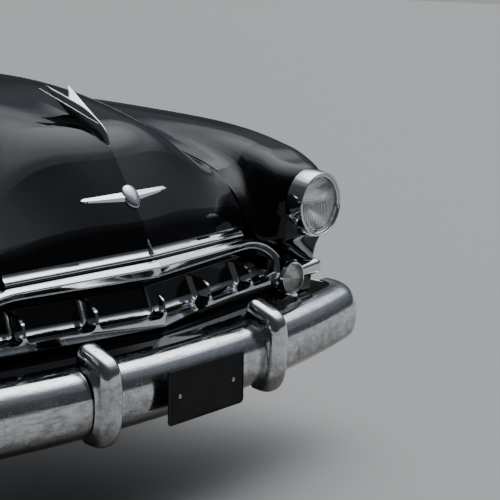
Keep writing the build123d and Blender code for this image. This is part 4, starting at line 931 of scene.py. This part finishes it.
class FRONTEND_OT_radiator(bpy.types.Operator):
    """Builds the radiator core from upright tubes and folded fins between two side channels"""
    bl_idname = "frontend.radiator"
    bl_label = "Radiator Core"

    def execute(self, context):
        settings = context.scene.frontend_chassis
        paint = plain_finish("radiator_paint", (0.018, 0.018, 0.018), 0.5, grain=390.0)
        core, fins = radiator_shells(settings.tubes, settings.fin_pitch / MM)
        make_piece("radiator_core", core, paint, nodes=("radiator",))
        make_piece("radiator_fins", fins, paint)
        dress(paint, "radiator_tank")
        return {"FINISHED"}


class FRONTEND_OT_fasteners(bpy.types.Operator):
    """Sets the bolts along the aprons, the radiator support, the hinges, the rails and the irons"""
    bl_idname = "frontend.fasteners"
    bl_label = "Fasteners"

    def execute(self, context):
        flats = context.scene.frontend_chassis.bolt_size
        steel = plain_finish("bolt_steel", (0.36, 0.35, 0.32), 0.38, 1.0)
        apron_face, below_edge, hinge_face, hinge_high = 509.3, 46.0, 503.0, 918.0
        rail_face, support_middle, support_front = 435.0, 480.0, 430.0
        aprons = np.arange(500.0, 1460.0, 120.0)
        hinges = np.array([1482.0, 1518.0])
        rails = np.array([205.0, 240.0, 440.0, 500.0, 440.0, 500.0])
        rail_highs = np.array([405.0, 405.0, 385.0, 385.0, 425.0, 425.0])
        support_highs = np.array([520.0, 600.0, 680.0, 760.0, 820.0])
        facing = {(0, -1): [], (0, 1): [], (1, -1): []}
        for sign in (1, -1):
            facing[0, -sign].append(place(sign * apron_face, aprons, edge_high(aprons) - below_edge))
            facing[0, -sign].append(place(sign * hinge_face, hinges, hinge_high))
            facing[0, sign].append(place(sign * rail_face, rails, rail_highs))
            facing[1, -1].append(place(sign * support_middle, support_front, support_highs))
        shells = [repeated(hex_bolt(flats, *way), np.concatenate(rows)) for way, rows in facing.items()]
        make_piece("body_bolts", shells, steel)
        return {"FINISHED"}


class FRONTEND_OT_chassis(bpy.types.Operator):
    """Finishes the frame rails, the irons, the hinges and the lock"""
    bl_idname = "frontend.chassis"
    bl_label = "Chassis"

    def execute(self, context):
        paint = plain_finish("frame_paint", (0.028, 0.028, 0.028), 0.55, relief=0.4)
        dress(paint, "frame_rail", "front_crossmember", "bumper_iron", "plate_bracket")
        steel = plain_finish("plated_steel", (0.5, 0.49, 0.45), 0.35, 1.0)
        dress(steel, "hinge_arm", "hinge_bracket", "bonnet_lock", "bonnet_striker")
        return {"FINISHED"}


def studio_floor(settings):
    """A plain floor at road level."""
    far, drop = 30.0, -settings.floor_drop
    corners = [(-far, -far, drop), (far, -far, drop), (far, far, drop), (-far, far, drop)]
    mesh = bpy.data.meshes.new("studio_floor")
    mesh.from_pydata(corners, [], [(0, 1, 2, 3)])
    floor = bpy.data.objects.new("studio_floor", mesh)
    bpy.context.scene.collection.objects.link(floor)
    material, tree, shader = new_material("studio_floor")
    fill(tree, shader, {"Base Color": (*settings.floor_color, 1), "Roughness": 0.75})
    mesh.materials.append(material)


def studio_light(settings):
    """A soft dome of light, dark at the horizon and brightest high on the left, and a plain backdrop."""
    brightest = (0.446, 0.050, 0.894)
    backdrop_color = (0.36, 0.365, 0.37, 1)
    stops = ((0.0, (0.030, 0.031, 0.031)), (0.48, (0.045, 0.048, 0.052)), (0.70, (0.15, 0.165, 0.19)),
             (0.82, (0.85, 0.90, 0.98)), (0.92, (2.0, 2.05, 2.12)), (1.0, (2.7, 2.75, 2.8)))
    world = bpy.data.worlds.new("studio")
    world.use_nodes = True
    bpy.context.scene.world = world
    tree = world.node_tree
    toward = new_node(tree, "ShaderNodeVectorMath", {0: where(tree, "Generated"), 1: brightest})
    toward.operation = "DOT_PRODUCT"
    height = ramp_node(tree, toward.outputs["Value"], 0.0, 1.0)
    ramp = new_node(tree, "ShaderNodeValToRGB", {"Fac": height})
    ramp.color_ramp.interpolation = "EASE"
    for count, (at, color) in enumerate(stops):
        stop = ramp.color_ramp.elements[count] if count < 2 else ramp.color_ramp.elements.new(at)
        stop.position = at
        stop.color = (*color, 1)
    light = {"Color": ramp.outputs["Color"], "Strength": settings.sky}
    sky = fill(tree, tree.nodes["Background"], light)
    backdrop = new_node(tree, "ShaderNodeBackground", {"Color": backdrop_color})
    seen = tree.nodes.new("ShaderNodeLightPath").outputs["Is Camera Ray"]
    either = new_node(tree, "ShaderNodeMixShader", {0: seen, 1: sky.outputs[0], 2: backdrop.outputs[0]})
    fill(tree, tree.nodes["World Output"], {"Surface": either.outputs[0]})


def studio_camera(settings):
    """The camera at its place, with its heading, tilt and roll."""
    turn, tip, roll = settings.camera_turn, settings.camera_tip, settings.camera_roll
    ahead = np.array([math.sin(turn) * math.cos(tip), math.cos(turn) * math.cos(tip), -math.sin(tip)])
    right = np.array([math.cos(turn), -math.sin(turn), 0.0])
    up = np.cross(right, ahead)
    side = math.cos(roll) * right + math.sin(roll) * up
    top = math.cos(roll) * up - math.sin(roll) * right
    camera = bpy.data.cameras.new("camera")
    camera.lens = settings.lens
    camera.sensor_width = 36.0
    camera.clip_end = 60.0
    holder = bpy.data.objects.new("camera", camera)
    bpy.context.scene.collection.objects.link(holder)
    matrix = np.eye(4)
    matrix[:3, 0], matrix[:3, 1], matrix[:3, 2] = side, top, -ahead
    matrix[:3, 3] = settings.camera_at
    holder.matrix_world = Matrix(matrix.tolist())
    bpy.context.scene.camera = holder


class FRONTEND_OT_stage(bpy.types.Operator):
    """Makes the floor, the studio light and the camera"""
    bl_idname = "frontend.stage"
    bl_label = "Stage"

    def execute(self, context):
        settings = context.scene.frontend_stage
        studio_floor(settings)
        studio_light(settings)
        studio_camera(settings)
        return {"FINISHED"}


class FRONTEND_PT_panel(bpy.types.Panel):
    """Lists the steps that finish the front end"""
    bl_label = "Front End"
    bl_idname = "FRONTEND_PT_panel"
    bl_space_type = "VIEW_3D"
    bl_region_type = "UI"
    bl_category = "Front End"

    def draw(self, context):
        for step in STEPS:
            self.layout.operator(step.bl_idname)


STEPS = (
    FRONTEND_OT_paint, FRONTEND_OT_chrome, FRONTEND_OT_trim, FRONTEND_OT_lamps, FRONTEND_OT_plate,
    FRONTEND_OT_radiator, FRONTEND_OT_chassis, FRONTEND_OT_fasteners, FRONTEND_OT_stage)
SETTINGS = {
    "frontend_paint": PaintSettings, "frontend_chrome": ChromeSettings, "frontend_trim": TrimSettings,
    "frontend_lamps": LampSettings, "frontend_chassis": ChassisSettings, "frontend_stage": StageSettings}
CLASSES = (*SETTINGS.values(), *STEPS, FRONTEND_PT_panel)


def register():
    """Adds the classes, and the settings to the scene."""
    for item in CLASSES:
        bpy.utils.register_class(item)
    for name, kind in SETTINGS.items():
        setattr(bpy.types.Scene, name, PointerProperty(type=kind))


def unregister():
    """Takes the settings and the classes away again."""
    for name in SETTINGS:
        delattr(bpy.types.Scene, name)
    for item in reversed(CLASSES):
        bpy.utils.unregister_class(item)


def main():
    """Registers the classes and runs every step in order."""
    register()
    for step in STEPS:
        group, name = step.bl_idname.split(".")
        getattr(getattr(bpy.ops, group), name)()


if __name__ == "__main__":
    main()
